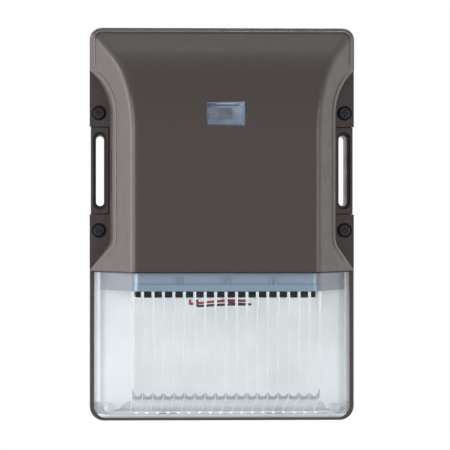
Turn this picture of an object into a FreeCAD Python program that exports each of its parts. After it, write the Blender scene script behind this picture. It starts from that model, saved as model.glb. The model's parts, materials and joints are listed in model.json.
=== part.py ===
import FreeCAD, Part
import math
import os

# A wall pack light: a cast back box that is fixed to a wall, and a cast front
# cover that holds the lamp, its driver and a photocell.  Millimetres.
# X is to the right as the light is looked at, Z is up, and a depth is measured
# out from the wall, along -Y.  The origin is the middle of the back face.

V = FreeCAD.Vector
SIDES = (-1, 1)
TOUCH = 0.01             # how near two places count as the same
PAST = 1.0               # how far a cutting shape runs past what it cuts
TANGENT_SHARE = 0.45     # share of a lead's shorter run that its bend takes up
HEAD_ROUND_SHARE = 0.45  # share of a screw head's height that is rounded
POINT_SHARE = 0.3        # share of a screw's radius that its end is chamfered

# ---------------------------------------------------------------- overall form
WIDTH = 172.0
HEIGHT = 255.0
DEPTH = 95.0             # wall to the flat front of the hood
EAR_DEPTH = 34.0         # wall to the face of the side ears
FLANGE_THICK = 6.0       # edge of the front casting
RIM_PROUD = 3.0          # ear face out to where the hood starts to slope
SIDE_SETBACK = 27.0      # how far each side slopes in, from rim to front
TOP_CORNER = 8.0
BOTTOM_CORNER = 9.4
EDGE_ROUND = 5.5         # soft edge between the hood's front and its sides
RIM_ROUND = 2.0
RIM_BAND_NEAR = 1.5      # the rim's edges lie in this band either side of it
RIM_BAND_FAR = 2.0
EAR_EDGE_ROUND = 0.8
TOP_ARC = 64.0           # round shoulder at the top of the hood
TOP_DROP = 71.0          # top edge down to where that round starts
HOOD_WALL = 3.0
HOOD_BOTTOM = -30.0
SHELF_THICK = 3.0        # floor of the hood, above the lens

# ------------------------------------------------------------ slotted side pads
EAR_WIDTH = 13.2         # side edge in to the upright wall of the hood's pocket
PAD_LOW = 6.7
PAD_HIGH = 63.1
PAD_EDGE_IN = 0.7        # pad's outer face in from the casting's side
PAD_INNER_GAP = 0.4      # between the pad's notch and the pocket's wall
PAD_SUNK = 0.4           # pad's face below the ear's face
PAD_EDGE_ROUND = 0.5
NOTCH_GAP = 0.3
SLOT_WIDE = 5.3
SLOT_OFF_MIDDLE = 0.2
SLOT_RING_WIDE = 9.0     # shallow recess round the slot
SLOT_RING_FROM_END = 2.9
SLOT_RING_STEP = 2.3     # recess's end to the slot's end
SLOT_RING_DEEP = 6.0

# ------------------------------------------------------------------ cover screws
SCREW_FROM_EDGE = 6.2
SCREW_ABOVE_PAD = 9.2
SCREW_BELOW_PAD = 10.6
SCREW_R = 2.0
THREAD_FIT = 0.05
SCREW_HOLE_FIT = 0.25
SCREW_HEAD_R = 4.0
SCREW_HEAD_H = 2.3
SCREW_SUNK = 0.1         # head's top below the ear's face
SCREW_LONG = 12.0
SCREW_END_ROOM = 1.5
SEAT_ROOM = 1.0          # counterbore round the head
WASHER_ROOM = 0.4        # washer's edge out from the head's
WASHER_THICK = 0.6
CROSS_WIDE = 0.9
CROSS_LONG = 4.4
CROSS_DEEP = 1.4

# ------------------------------------------------- pockets in the hood's sides
POCKET_ARC = 40.0
POCKET_ARC_TURN = 80.0   # degrees of that arc
POCKET_ARC_DOWN = 2.3    # upper screws down to where the arc starts
POCKET_BLEND = 12.0
POCKET_BLEND_DOWN = 4.1  # lower screws down to where the blend starts
POCKET_DIAGONAL = 53.2   # degrees below level
POCKET_LEAN = 2.8        # degrees of draft
GRIP_LOW = 21.6          # shallow prying slit on each pocket wall
GRIP_HIGH = 48.0
GRIP_WIDE = 8.0
GRIP_DEEP = 1.2
GRIP_FORWARD = 16.0      # ear's face out to the slit's middle

# ---------------------------------------------------------------------- back box
BOX_INSET = 1.0          # back box stands in from the front casting
BOX_WALL = 3.0
BOX_BACK = 3.0
BOX_RIM_GAP = 0.2
EAR_BLOCK_IN = 2.0       # solid casting behind each ear, in past the pocket's wall
EAR_BLOCK_DOWN = 9.1     # and down from the lower screws
EAR_BLOCK_UP = 7.7       # and up from the upper screws
EAR_SEAL_IN = 0.8        # cover seal in from that block's edge
SEAL_IN = 0.5            # cover seal in from the box's side
SEAL_WIDE = 1.6
SEAL_DEEP = 1.6
SEAL_FIT = 0.1
WALL_SEAL_IN = 10.0
WALL_SEAL_WIDE = 6.0
WALL_SEAL_THICK = 1.5
WALL_HOLE_IN = 30.0      # from the box's side
WALL_HOLE_DOWN = 31.5    # from the box's top and bottom
WALL_HOLE_R = 3.2
ENTRY_Z = 35.0           # rear wire entry
ENTRY_R = 11.0
GROMMET_BORE_R = 5.0
GROMMET_LIP = 2.0
GROMMET_LIP_THICK = 1.6
JBOX_SPACING = 88.9
JBOX_SLOT_WIDE = 5.0
JBOX_SLOT_LONG = 12.0
CONDUIT_Z = -60.0        # side conduit entries
CONDUIT_R = 10.6
CONDUIT_BOSS_WALL = 2.0
CONDUIT_BOSS_LONG = 9.0
PLUG_FIT = 0.1
PLUG_SOCKET_R = 4.6
PLUG_SOCKET_DEEP = 5.0
PLUG_RECESS = 0.4
BOX_GROUND_X = 45.0
BOX_GROUND_Z = -50.0
BOX_GROUND_SEAT = 12.0
BOX_GROUND_END_ROOM = 0.5

# ---------------------------------------------------------------- lens and stack
LIP_THICK = 2.0          # lip of the casting round the lens
LIP_SIDE = 2.7
LIP_BOTTOM = 1.6
SKIRT_SIDE = 1.3
SKIRT_BOTTOM = 0.8
STACK_FIT = 0.2
LENS_GASKET_THICK = 0.8
REFLECTOR_THICK = 1.0
LENS_WALL = 2.2
LENS_FRONT_SETBACK = 1.0
LENS_FRONT_WIDER = 0.2   # lens front out from the hood's front, at each side
LENS_OPENING_FIT = 0.3
LENS_RISE = 13.5         # lens floor, from flange up to the front edge
LENS_ROUND = 6.0
LENS_TOP_GAP = 1.0       # hood floor down to the lens, filled by a seal
LENS_BAR = 4.5           # top bar of the lens flange
FLANGE_CORNER = 8.0
OPENING_TOP_ROUND = 1.0
FLUTE_COUNT = 18
FLUTE_OVER = 0.2         # outer flutes run into the lens's sides
FLUTE_R = 5.5
FLUTE_TOP_DOWN = 16.5    # hood floor down to the flutes
FLUTE_BOTTOM_UP = 4.6    # lens floor's front edge up to the flutes
LUG_X = 36.0             # cast lugs that hold the lens flange's lower edge
LUG_WIDE = 12.0
LUG_TALL = 3.2
LUG_GAP = 0.4
POST_FROM_EDGE = 10.0    # screw posts moulded on the lens, in its lower corners
POST_FROM_BOTTOM = 7.0
POST_R = 3.0
POST_LONG = 10.0
POST_END = 2.0

# ---------------------------------------------------------------------- small screws
M3_R = 1.5
M3_BORE_FIT = 0.05
M3_HEAD_R = 2.8
M3_HEAD_H = 2.0
M3_LONG = 7.0
M3_CROSS = 0.65          # its cross recess, against the cover screw's
HOLE_FIT = 0.2
BOSS_WALL = 0.6          # boss's edge out from the screw head's
WEB_HALF = 1.2           # half thickness of the webs that carry bosses and posts

# --------------------------------------------------------------- LED light engine
SINK_GAP = 0.8           # heat sink inside the lens
SINK_BACK_GAP = 1.0      # lip of the casting out to the heat sink
SINK_TALL = 12.4
SINK_STEP = 0.8
SINK_STEP_DOWN = 8.2
SINK_CORE_WALL = 2.4
SINK_CORES = 4
SINK_RIB_PITCH = 30.0
SINK_RIB_DOWN = 3.5
SINK_RIB_HALF_GAP = 1.2
SINK_RIB_WIDE = 0.8
SINK_SCREW_IN = 15.6     # from the LED board's end
PAD_THERMAL = 0.5
LED_BOARD_THICK = 1.6
LED_BOARD_SIDE = 5.0     # frame's side in to the board
LED_BOARD_FRONT = 12.0   # lens front back to the board
LED_BOARD_BACK = 4.5     # lead hole out to the board
LED_SCREW_IN = 1.0
LED_SIZE = 3.0
LED_TALL = 0.8
LED_COLUMNS = 12
LED_ROWS = 3
LED_END_ROOM = 9.1       # board's end to the first column
LED_NEAR_ROOM = 6.0      # board's back edge to the first row
LED_FAR_ROOM = 10.0      # last row to the board's front edge
FRAME_BACK = 3.0         # frame behind the board
FRAME_FRONT_GAP = 2.3    # frame behind the lens front
FRAME_TALL = 3.8
FRAME_CORNER_LONG = 4.5
FRAME_CORNER_DEEP = 3.0
SHEET_GAP = 0.2          # frame down to the reflector's shelf
SHEET_FRONT_IN = 1.5     # shelf's front edge behind the frame's
SHEET_OVERLAP = 1.0      # shelf over the board's edges
TAB_SCREW_IN = 26.0      # from the casting's side
TAB_SCREW_UP = 5.5       # from the top of the hood's floor
TAB_SIDE = 6.0
TAB_TOP = 6.5
TAB_BOSS_LONG = 14.0
LEAD_HOLE_FORWARD = 6.0  # heat sink's back out to the lead hole
LEAD_HOLE_R = 4.5
GROMMET_HOLE_R = 3.0
SHELF_GROMMET_LIP = 1.2
LED_PLUG_X = -20.0
LED_PLUG_IN = 5.5        # board's front edge back to the plug
LED_PLUG_LONG = 9.0
LED_PLUG_WIDE = 4.0
LED_PLUG_TALL = 3.4
LED_SOCKET_DEEP = 2.4

# ---------------------------------------------------------------------------- driver
DRIVER_SIDE_ROOM = 13.0  # hood's front corner in to the case
DRIVER_FLOOR_ROOM = 13.0
DRIVER_FRONT_ROOM = 9.0
DRIVER_TALL = 52.0
DRIVER_THICK = 28.0
DRIVER_WALL = 1.5
CASE_ROUND = 2.0
DRIVER_TAB = 10.0
DRIVER_TAB_WIDE = 9.0
DRIVER_TAB_IN = 14.0     # tabs in from the case's lower and upper sides
DRIVER_BOARD_THICK = 1.6
DRIVER_BOARD_FIT = 0.5
DRIVER_STAND = 3.0
STAND_R = 2.0
STAND_IN = 8.0
STAND_UP = 7.0
CORE_UP = 13.0           # transformer core above the case's lower side
CORE_HALF = 9.0
CORE_TALL = 22.0
CORE_DEEP = 14.0
CORE_LEG = 4.0
CORE_PLATE = 3.0
CORE_STAND = 1.0
BOBBIN_HALF = 11.0
BOBBIN_TALL = 10.0
CHOKE_IN = 16.0          # from the case's side
CHOKE_UP = 16.0
CHOKE_R = 6.0
CHOKE_WIRE_R = 2.6
# side, in from the case's side, up from its lower side, radius, height
CAPACITORS = (
    (-1, 16.0, 14.0, 6.0, 18.0),
    (-1, 16.0, 38.0, 5.0, 16.0),
    (1, 16.0, 36.0, 6.0, 18.0),
    (1, 28.0, 8.8, 4.0, 12.0),
)
BUSHING_R = 3.2
BUSHING_WALL = 0.8
BUSHING_LIP = 1.2
BUSHING_FLANGE = 1.2
BUSHING_LONG = 4.0
OUT_BUSHING_X = 0.0
BUSHING_IN = 16.0        # case's base back to its bushings
IN_BUSHING_DOWN = 18.0
TOP_BUSHING_X = 20.0
LEAD_R = 1.1
THIN_LEAD_R = 0.8
SPLICE_PITCH = 20.0
SPLICE_FORWARD = 14.0    # back box's rim out to the splices
SPLICE_FROM_TOP = 31.5
SPLICE_LONG = 20.0
SPLICE_OVER = 6.0        # cap's mouth below its lead's end
SPLICE_WIDE_R = 5.2
SPLICE_TIP_R = 3.4

# ------------------------------------------------------------------------- photocell
WINDOW_FROM_TOP = 57.5
WINDOW_WIDE = 23.5
WINDOW_TALL = 14.2
WINDOW_GAP = 0.7
WINDOW_SINK = 0.4
WINDOW_LIP = 2.5
WINDOW_LIP_THICK = 1.4
WINDOW_SEAL_THICK = 0.6
SENSOR_SIZE = 7.0
SENSOR_THICK = 3.0
SENSOR_IN = 6.0          # hood's face back to the sensor's
SENSOR_ROUND = 0.5
CELL_BOARD_THICK = 1.6
CELL_BOARD_HALF = 15.0
CELL_BOARD_TALL = 16.0
CELL_FOOT_X = 23.0
CELL_BRIDGE = 2.0
GROUND_FROM_CORNER = 15.0   # hood's front corner in to its ground screw
GROUND_BELOW_WINDOW = 4.0
GROUND_IN = 10.3         # hood's face back to the ground screw's seat
GROUND_RING_THICK = 1.2
BARREL_LONG = 5.5        # of the ring lug on the ground lead
BARREL_WALL = 0.5

# ------------------------------------------------------------------ worked-out places
HALF = WIDTH / 2
TOP = HEIGHT / 2
BOTTOM = -HEIGHT / 2
RIM_DEPTH = EAR_DEPTH + RIM_PROUD
BOX_DEPTH = EAR_DEPTH - FLANGE_THICK
FRONT_HALF = HALF - SIDE_SETBACK
SIDE_SLOPE = SIDE_SETBACK / (DEPTH - RIM_DEPTH)
SIDE_STRETCH = math.sqrt(1 + SIDE_SLOPE ** 2)
BOX_HALF = HALF - BOX_INSET
BOX_TOP = TOP - BOX_INSET
BOX_BOTTOM = BOTTOM + BOX_INSET
SHELF_TOP = HOOD_BOTTOM + SHELF_THICK

PAD_WIDE = EAR_WIDTH - PAD_EDGE_IN - NOTCH_GAP - PAD_INNER_GAP
PAD_DEPTH = EAR_DEPTH - PAD_SUNK
SLOT_X = HALF - PAD_EDGE_IN - PAD_WIDE / 2 - SLOT_OFF_MIDDLE
SLOT_Z = (PAD_LOW + PAD_HIGH) / 2
SLOT_RING_LONG = PAD_HIGH - PAD_LOW - 2 * SLOT_RING_FROM_END
SLOT_LONG = SLOT_RING_LONG - 2 * SLOT_RING_STEP

SCREW_X = HALF - SCREW_FROM_EDGE
SCREW_HIGH = PAD_HIGH + SCREW_ABOVE_PAD
SCREW_LOW = PAD_LOW - SCREW_BELOW_PAD
SEAT_DEPTH = EAR_DEPTH - WASHER_THICK - SCREW_HEAD_H - SCREW_SUNK
POCKET_TOP = SCREW_HIGH - POCKET_ARC_DOWN
POCKET_LOW = SCREW_LOW - POCKET_BLEND_DOWN
GRIP_DEPTH_AT = EAR_DEPTH + GRIP_FORWARD
EAR_BLOCK_WIDE = EAR_WIDTH + EAR_BLOCK_IN
EAR_BLOCK_LOW = SCREW_LOW - EAR_BLOCK_DOWN
EAR_BLOCK_HIGH = SCREW_HIGH + EAR_BLOCK_UP

LIP_BACK = EAR_DEPTH - LIP_THICK
LENS_FLANGE_FRONT = LIP_BACK - LENS_GASKET_THICK
LENS_FLANGE_BACK = BOX_DEPTH + REFLECTOR_THICK
OPENING_HALF = HALF - LIP_SIDE
OPENING_BOTTOM = BOTTOM + LIP_BOTTOM
POST_X = OPENING_HALF - POST_FROM_EDGE
POST_Z = OPENING_BOTTOM + POST_FROM_BOTTOM
STACK_HALF = HALF - SKIRT_SIDE - STACK_FIT
STACK_BOTTOM = BOTTOM + SKIRT_BOTTOM + STACK_FIT
LENS_FRONT = DEPTH - LENS_FRONT_SETBACK
LENS_FRONT_HALF = FRONT_HALF + LENS_FRONT_WIDER
LENS_TOP = HOOD_BOTTOM - LENS_TOP_GAP
FLUTE_PITCH = 2 * (LENS_FRONT_HALF + FLUTE_OVER) / FLUTE_COUNT
FLUTE_TOP = HOOD_BOTTOM - FLUTE_TOP_DOWN
FLUTE_BOTTOM = OPENING_BOTTOM + LENS_OPENING_FIT + LENS_RISE + FLUTE_BOTTOM_UP

M3_BORE_R = M3_R + M3_BORE_FIT
BOSS_R = M3_HEAD_R + BOSS_WALL
SINK_BACK = LIP_BACK + SINK_BACK_GAP
SINK_BOTTOM = HOOD_BOTTOM - SINK_TALL
SINK_STEP_Z = HOOD_BOTTOM - SINK_STEP_DOWN
LEAD_HOLE_D = SINK_BACK + LEAD_HOLE_FORWARD
FRAME_HALF = LENS_FRONT_HALF - LENS_WALL
FRAME_FAR = LENS_FRONT - LENS_WALL - FRAME_FRONT_GAP
FRAME_BOTTOM = SINK_BOTTOM - FRAME_TALL
LED_BOARD_HALF = FRAME_HALF - LED_BOARD_SIDE
LED_BOARD_NEAR = LEAD_HOLE_D + LEAD_HOLE_R + LED_BOARD_BACK
LED_BOARD_FAR = LENS_FRONT - LED_BOARD_FRONT
LED_FACE = SINK_BOTTOM - PAD_THERMAL - LED_BOARD_THICK
LED_PITCH_X = 2 * (LED_BOARD_HALF - LED_END_ROOM) / (LED_COLUMNS - 1)
LED_PITCH_D = (LED_BOARD_FAR - LED_FAR_ROOM - LED_BOARD_NEAR - LED_NEAR_ROOM) / (LED_ROWS - 1)
LED_PLUG_D = LED_BOARD_FAR - LED_PLUG_IN
SHEET_TOP_Z = FRAME_BOTTOM - SHEET_GAP
TAB_SCREW_X = HALF - TAB_SCREW_IN
TAB_SCREW_Z = SHELF_TOP + TAB_SCREW_UP

DRIVER_HALF = FRONT_HALF - DRIVER_SIDE_ROOM
DRIVER_LOW = SHELF_TOP + DRIVER_FLOOR_ROOM
DRIVER_HIGH = DRIVER_LOW + DRIVER_TALL
DRIVER_FAR = DEPTH - DRIVER_FRONT_ROOM   # depth of its base
DRIVER_NEAR = DRIVER_FAR - DRIVER_THICK  # depth of its lid side
BOARD_FACE = DRIVER_FAR - DRIVER_WALL - DRIVER_STAND - DRIVER_BOARD_THICK
OUT_BUSHING_D = DRIVER_FAR - BUSHING_IN
IN_BUSHING_Z = DRIVER_HIGH - IN_BUSHING_DOWN
SPLICE_D = BOX_DEPTH + SPLICE_FORWARD
SPLICE_Z = TOP - SPLICE_FROM_TOP
WINDOW_Z = TOP - WINDOW_FROM_TOP
GROUND_X = GROUND_FROM_CORNER - FRONT_HALF
GROUND_Z = WINDOW_Z - GROUND_BELOW_WINDOW


def hood_face(z):
    """Depth of the hood's front face at a height."""
    up = max(0.0, z - (TOP - TOP_DROP))
    return DEPTH - TOP_ARC + math.sqrt(TOP_ARC ** 2 - up ** 2)


SENSOR_FRONT = hood_face(WINDOW_Z) - SENSOR_IN
CELL_SEAT = SENSOR_FRONT - SENSOR_THICK
GROUND_SEAT = hood_face(GROUND_Z) - GROUND_IN


# -------------------------------------------------------------------- small builders
def at(x, depth, z):
    """A point, given by its depth out from the wall."""
    return V(x, -depth, z)


def block(x0, x1, d0, d1, z0, z1):
    return Part.makeBox(x1 - x0, d1 - d0, z1 - z0, at(x0, d1, z0))


def rod(x, z, radius, d0, d1):
    """Cylinder along the depth."""
    return Part.makeCylinder(radius, d1 - d0, at(x, d0, z), V(0, -1, 0))


def rod_up(x, depth, radius, z0, z1):
    return Part.makeCylinder(radius, z1 - z0, at(x, depth, z0), V(0, 0, 1))


def rod_across(x0, x1, depth, z, radius):
    return Part.makeCylinder(radius, x1 - x0, at(x0, depth, z), V(1, 0, 0))


def join(first, *others):
    """Several touching solids as one."""
    return first.multiFuse(list(others)).removeSplitter()


def cut(body, *tools):
    return body.cut(Part.makeCompound(list(tools)))


def closed_face(start, steps):
    """Face from a start point and steps: (point,) is a line, (mid, end) an arc."""
    edges = []
    here = start
    for step in steps:
        if len(step) == 1:
            edges.append(Part.makeLine(here, step[0]))
        else:
            edges.append(Part.Arc(here, step[0], step[1]).toShape())
        here = step[-1]
    edges.append(Part.makeLine(here, start))
    return Part.Face(Part.Wire(edges))


def edges_where(body, test):
    """Edges whose end points all pass the test."""
    return [edge for edge in body.Edges if all(test(v.Point) for v in edge.Vertexes)]


def plate(half, z0, z1, top_round, bottom_round, d0, d1):
    """Upright slab, 2 * half wide, with its four corners rounded."""
    slab = block(-half, half, d0, d1, z0, z1)
    for level, radius in ((z1, top_round), (z0, bottom_round)):
        corners = edges_where(slab, lambda p: abs(p.z - level) < TOUCH)
        corners = [edge for edge in corners if abs(edge.tangentAt(edge.FirstParameter).y) > 0.5]
        slab = slab.makeFillet(radius, corners)
    return slab


def pill(x, z, wide, tall, d0, d1):
    """Upright slot shape with round ends."""
    radius = wide / 2
    reach = tall / 2 - radius
    middle = block(x - radius, x + radius, d0, d1, z - reach, z + reach)
    return join(middle, rod(x, z + reach, radius, d0, d1), rod(x, z - reach, radius, d0, d1))


def placed(shape, point, axis):
    """Move a shape made along +Z so that it points along axis from point."""
    moved = shape.copy()
    moved.Placement = FreeCAD.Placement(point, FreeCAD.Rotation(V(0, 0, 1), axis))
    return moved


def pan_screw(radius, length, head_r, head_h, cross=1.0):
    """Screw along +Z: shank below zero, round head with a cross recess above."""
    head = Part.makeCylinder(head_r, head_h)
    rim = [edge for edge in head.Edges if len(edge.Vertexes) == 1 and edge.Vertexes[0].Z > TOUCH]
    head = head.makeFillet(head_h * HEAD_ROUND_SHARE, rim)
    shank = Part.makeCylinder(radius, length, V(0, 0, -length))
    tip = [edge for edge in shank.Edges if edge.BoundBox.ZMax < -length + TOUCH]
    shank = shank.makeChamfer(radius * POINT_SHARE, tip)
    long, wide, deep = CROSS_LONG * cross, CROSS_WIDE * cross, CROSS_DEEP * cross
    arms = []
    for across, along in ((long, wide), (wide, long)):
        corner = V(-across / 2, -along / 2, head_h - deep)
        arms.append(Part.makeBox(across, along, deep + PAST, corner))
    return cut(join(head, shank), *arms)


def m3_screw(point, axis):
    return placed(pan_screw(M3_R, M3_LONG, M3_HEAD_R, M3_HEAD_H, M3_CROSS), point, axis)


def tube(name, points, radius):
    """Lead along straight runs joined by tangent arcs."""
    edges = []
    here = points[0]
    radii = []
    for before, corner, after in zip(points, points[1:], points[2:]):
        run_in = corner.sub(before)
        run_out = after.sub(corner)
        turn = run_in.getAngle(run_out)
        back_off = TANGENT_SHARE * min(run_in.Length, run_out.Length)
        bend = back_off / math.tan(turn / 2)
        unit_in = V(run_in).normalize()
        unit_out = V(run_out).normalize()
        start = corner.sub(unit_in * back_off)
        end = corner.add(unit_out * back_off)
        inward = unit_out.sub(unit_in).normalize()
        middle = corner.add(inward * (bend / math.cos(turn / 2) - bend))
        edges.append(Part.LineSegment(here, start).toShape())
        edges.append(Part.Arc(start, middle, end).toShape())
        here = end
        radii.append(round(bend, 1))
    edges.append(Part.LineSegment(here, points[-1]).toShape())
    path = Part.Wire(edges)
    first = points[1].sub(points[0])
    ring = Part.Wire(Part.makeCircle(radius, points[0], first))
    solid = path.makePipeShell([ring], True, False)
    print(name, "bend radii", radii, "volume ratio",
          round(solid.Volume / (math.pi * radius ** 2 * path.Length), 4))
    return solid


# ------------------------------------------------------------------------ hood shape
def hood_half(depth, inset):
    """Half the hood's width at a depth, with its faces moved in by inset."""
    return FRONT_HALF + (DEPTH - depth) * SIDE_SLOPE - inset * SIDE_STRETCH


def hood_profile(inset, half, bottom):
    """Side view of the hood, moved in by inset, as a prism 2 * half wide."""
    radius = TOP_ARC - inset
    centre_d = DEPTH - TOP_ARC
    centre_z = TOP - TOP_DROP
    to_rim = math.hypot(RIM_DEPTH - centre_d, TOP_DROP)
    sweep = math.atan2(TOP_DROP, RIM_DEPTH - centre_d) - math.acos(TOP_ARC / to_rim)

    def on_arc(angle):
        return at(-half, centre_d + radius * math.cos(angle), centre_z + radius * math.sin(angle))

    end = on_arc(sweep)
    run = (-end.y - BOX_DEPTH) / math.sin(sweep)
    slope_top = at(-half, BOX_DEPTH, end.z + run * math.cos(sweep))
    face = closed_face(at(-half, BOX_DEPTH, bottom), [
        (at(-half, DEPTH - inset, bottom),),
        (on_arc(0),),
        (on_arc(sweep / 2), end),
        (slope_top,),
    ])
    return face.extrude(V(2 * half, 0, 0))


def hood_plan(inset, bottom):
    """Plan view of the hood's sloping sides as a tall prism."""
    front = DEPTH - inset
    corners = []
    for depth, side in ((BOX_DEPTH, -1), (front, -1), (front, 1), (BOX_DEPTH, 1)):
        corners.append(at(side * hood_half(depth, inset), depth, bottom))
    face = closed_face(corners[0], [(corner,) for corner in corners[1:]])
    return face.extrude(V(0, 0, HEIGHT))


def hood_side_edges(body, inset, bottom):
    """Edges where the sloping sides meet the front and top."""
    chosen = []
    for edge in body.Edges:
        ends = [v.Point for v in edge.Vertexes]
        on_side = all(abs(abs(p.x) - hood_half(-p.y, inset)) < TOUCH for p in ends)
        one_side = ends[0].x * ends[-1].x > 0
        low = all(p.z < bottom + TOUCH for p in ends)
        back = all(-p.y < BOX_DEPTH + TOUCH for p in ends)
        if on_side and one_side and not low and not back:
            chosen.append(edge)
    return chosen


def pocket(side, inset, d0, d1):
    """Room over an ear, cut from the hood's side, grown by inset."""
    wall = HALF - EAR_WIDTH - inset
    far = WIDTH
    arc_x = HALF - EAR_WIDTH + POCKET_ARC
    arc_r = POCKET_ARC + inset
    blend_x = HALF - EAR_WIDTH + POCKET_BLEND
    blend_r = POCKET_BLEND + inset
    fall = math.radians(POCKET_DIAGONAL)
    lean = math.tan(math.radians(POCKET_LEAN))
    shift = lean * (d0 - EAR_DEPTH)

    def spot(x, z):
        return at(side * (x - shift), d0, z)

    def on_top(angle):
        return spot(arc_x - arc_r * math.cos(angle), POCKET_TOP + arc_r * math.sin(angle))

    def on_blend(angle):
        return spot(blend_x - blend_r * math.cos(angle), POCKET_LOW - blend_r * math.sin(angle))

    top_end = math.radians(POCKET_ARC_TURN)
    low_end = math.pi / 2 - fall
    low_x = blend_x - blend_r * math.cos(low_end)
    low_z = POCKET_LOW - blend_r * math.sin(low_end)
    drop = (far - low_x) * math.tan(fall)
    face = closed_face(on_top(0), [
        (on_top(top_end / 2), on_top(top_end)),
        (spot(far, POCKET_TOP + arc_r),),
        (spot(far, low_z - drop),),
        (spot(low_x, low_z),),
        (on_blend(low_end / 2), on_blend(0)),
    ])
    return face.extrude(V(-side * lean * (d1 - d0), -(d1 - d0), 0))


def hood_body(inset, bottom):
    """The hood as a solid block, with every face moved in by inset."""
    body = hood_profile(inset, WIDTH, bottom).common(hood_plan(inset, bottom))
    body = body.makeFillet(EDGE_ROUND - inset, hood_side_edges(body, inset, bottom))
    outline = plate(HALF - inset, BOTTOM, TOP - inset, TOP_CORNER - inset, BOTTOM_CORNER,
                    BOX_DEPTH, DEPTH)
    return body.common(outline)


def hood_outside():
    """Hood with its soft rim and the two side pockets."""
    body = hood_body(0, HOOD_BOTTOM)
    rim = edges_where(body, lambda p: -RIM_BAND_NEAR < -p.y - RIM_DEPTH < RIM_BAND_FAR)
    rim = [edge for edge in rim if edge.BoundBox.ZMax > HOOD_BOTTOM + TOUCH]
    body = body.makeFillet(RIM_ROUND, rim)
    return cut(body, *[pocket(side, 0, EAR_DEPTH, DEPTH + PAST) for side in SIDES])


def hood_hollow():
    """Room inside the hood, open to the back."""
    body = hood_body(HOOD_WALL, SHELF_TOP)
    return cut(body, *[pocket(side, HOOD_WALL, BOX_DEPTH - PAST, DEPTH + PAST) for side in SIDES])


def grip_slits():
    """Shallow upright slit cut into each pocket wall, to pry the cover off."""
    wall = HALF - EAR_WIDTH
    lean = math.tan(math.radians(POCKET_LEAN)) * (GRIP_DEPTH_AT - EAR_DEPTH)
    near = GRIP_DEPTH_AT - GRIP_WIDE / 2
    slits = []
    for side in SIDES:
        edges = sorted((side * (wall - lean - GRIP_DEEP), side * (wall + PAST)))
        slits.append(block(edges[0], edges[1], near, near + GRIP_WIDE, GRIP_LOW, GRIP_HIGH))
    return slits


# --------------------------------------------------------------------- front casting
def lens_opening():
    """Room for the lens in the front casting."""
    return plate(OPENING_HALF, OPENING_BOTTOM, HOOD_BOTTOM, OPENING_TOP_ROUND, FLANGE_CORNER,
                 BOX_DEPTH - PAST, EAR_DEPTH + PAST)


def lens_stack(grow, d0, d1):
    """Outline of the lens flange and its neighbours, grown by grow."""
    return plate(STACK_HALF + grow, STACK_BOTTOM - grow, SHELF_TOP + grow, OPENING_TOP_ROUND,
                 FLANGE_CORNER, d0, d1)


def pad_notches():
    """Gaps in the casting's ears where the back box's pads come through."""
    inner = HALF - PAD_EDGE_IN - PAD_WIDE - NOTCH_GAP
    notches = []
    for side in SIDES:
        edges = sorted((side * inner, side * WIDTH))
        notches.append(block(edges[0], edges[1], BOX_DEPTH - PAST, EAR_DEPTH + PAST,
                             PAD_LOW - NOTCH_GAP, PAD_HIGH + NOTCH_GAP))
    return notches


def cover_screw_places():
    """Middles of the four cover screws."""
    return [(side * SCREW_X, z) for z in (SCREW_HIGH, SCREW_LOW) for side in SIDES]


def driver_places():
    """Middles of the four screws that hold the driver's case."""
    levels = (DRIVER_LOW + DRIVER_TAB_IN, DRIVER_HIGH - DRIVER_TAB_IN)
    return [(side * (DRIVER_HALF + DRIVER_TAB / 2), z) for z in levels for side in SIDES]


def lug_blocks(grow, d0, d1):
    """Cast lugs behind the lens flange's lower edge."""
    reach = STACK_BOTTOM + LUG_TALL
    return [block(side * LUG_X - LUG_WIDE / 2 - grow, side * LUG_X + LUG_WIDE / 2 + grow,
                  d0, d1, BOTTOM + SKIRT_BOTTOM / 2, reach + grow) for side in SIDES]


def front_bosses():
    """Bosses inside the front casting, and the webs that carry the lower ones."""
    web_end = LENS_FLANGE_BACK + TAB_BOSS_LONG
    bosses = [rod(x, z, BOSS_R, DRIVER_FAR, DEPTH - HOOD_WALL / 2) for x, z in driver_places()]
    for side in SIDES:
        x = side * TAB_SCREW_X
        bosses.append(rod(x, TAB_SCREW_Z, BOSS_R, LENS_FLANGE_BACK, web_end))
        bosses.append(block(x - WEB_HALF, x + WEB_HALF, LIP_BACK, web_end,
                            SHELF_TOP - SHELF_THICK / 2, TAB_SCREW_Z))
        bosses.append(cell_foot(side))
    bosses.append(ground_boss())
    return bosses


def front_housing():
    """Front casting: hood, ears, slim frame round the lens, and its inner bosses."""
    flange = plate(HALF, BOTTOM, TOP, TOP_CORNER, BOTTOM_CORNER, BOX_DEPTH, EAR_DEPTH)
    front_rim = edges_where(flange, lambda p: abs(p.y + EAR_DEPTH) < TOUCH)
    flange = flange.makeFillet(EAR_EDGE_ROUND, front_rim)
    body = cut(join(flange, hood_outside()), hood_hollow())
    body = cut(body, lens_opening(), lens_stack(STACK_FIT, BOX_DEPTH - PAST, LIP_BACK))
    shelf = block(-OPENING_HALF, OPENING_HALF, LIP_BACK, DEPTH, HOOD_BOTTOM, SHELF_TOP)
    shelf = shelf.common(hood_body(HOOD_WALL / 2, HOOD_BOTTOM))
    body = join(body, shelf, *lug_blocks(0, BOX_DEPTH, LENS_FLANGE_BACK))
    return cut(join(body, *front_bosses()), *front_cuts())


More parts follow.
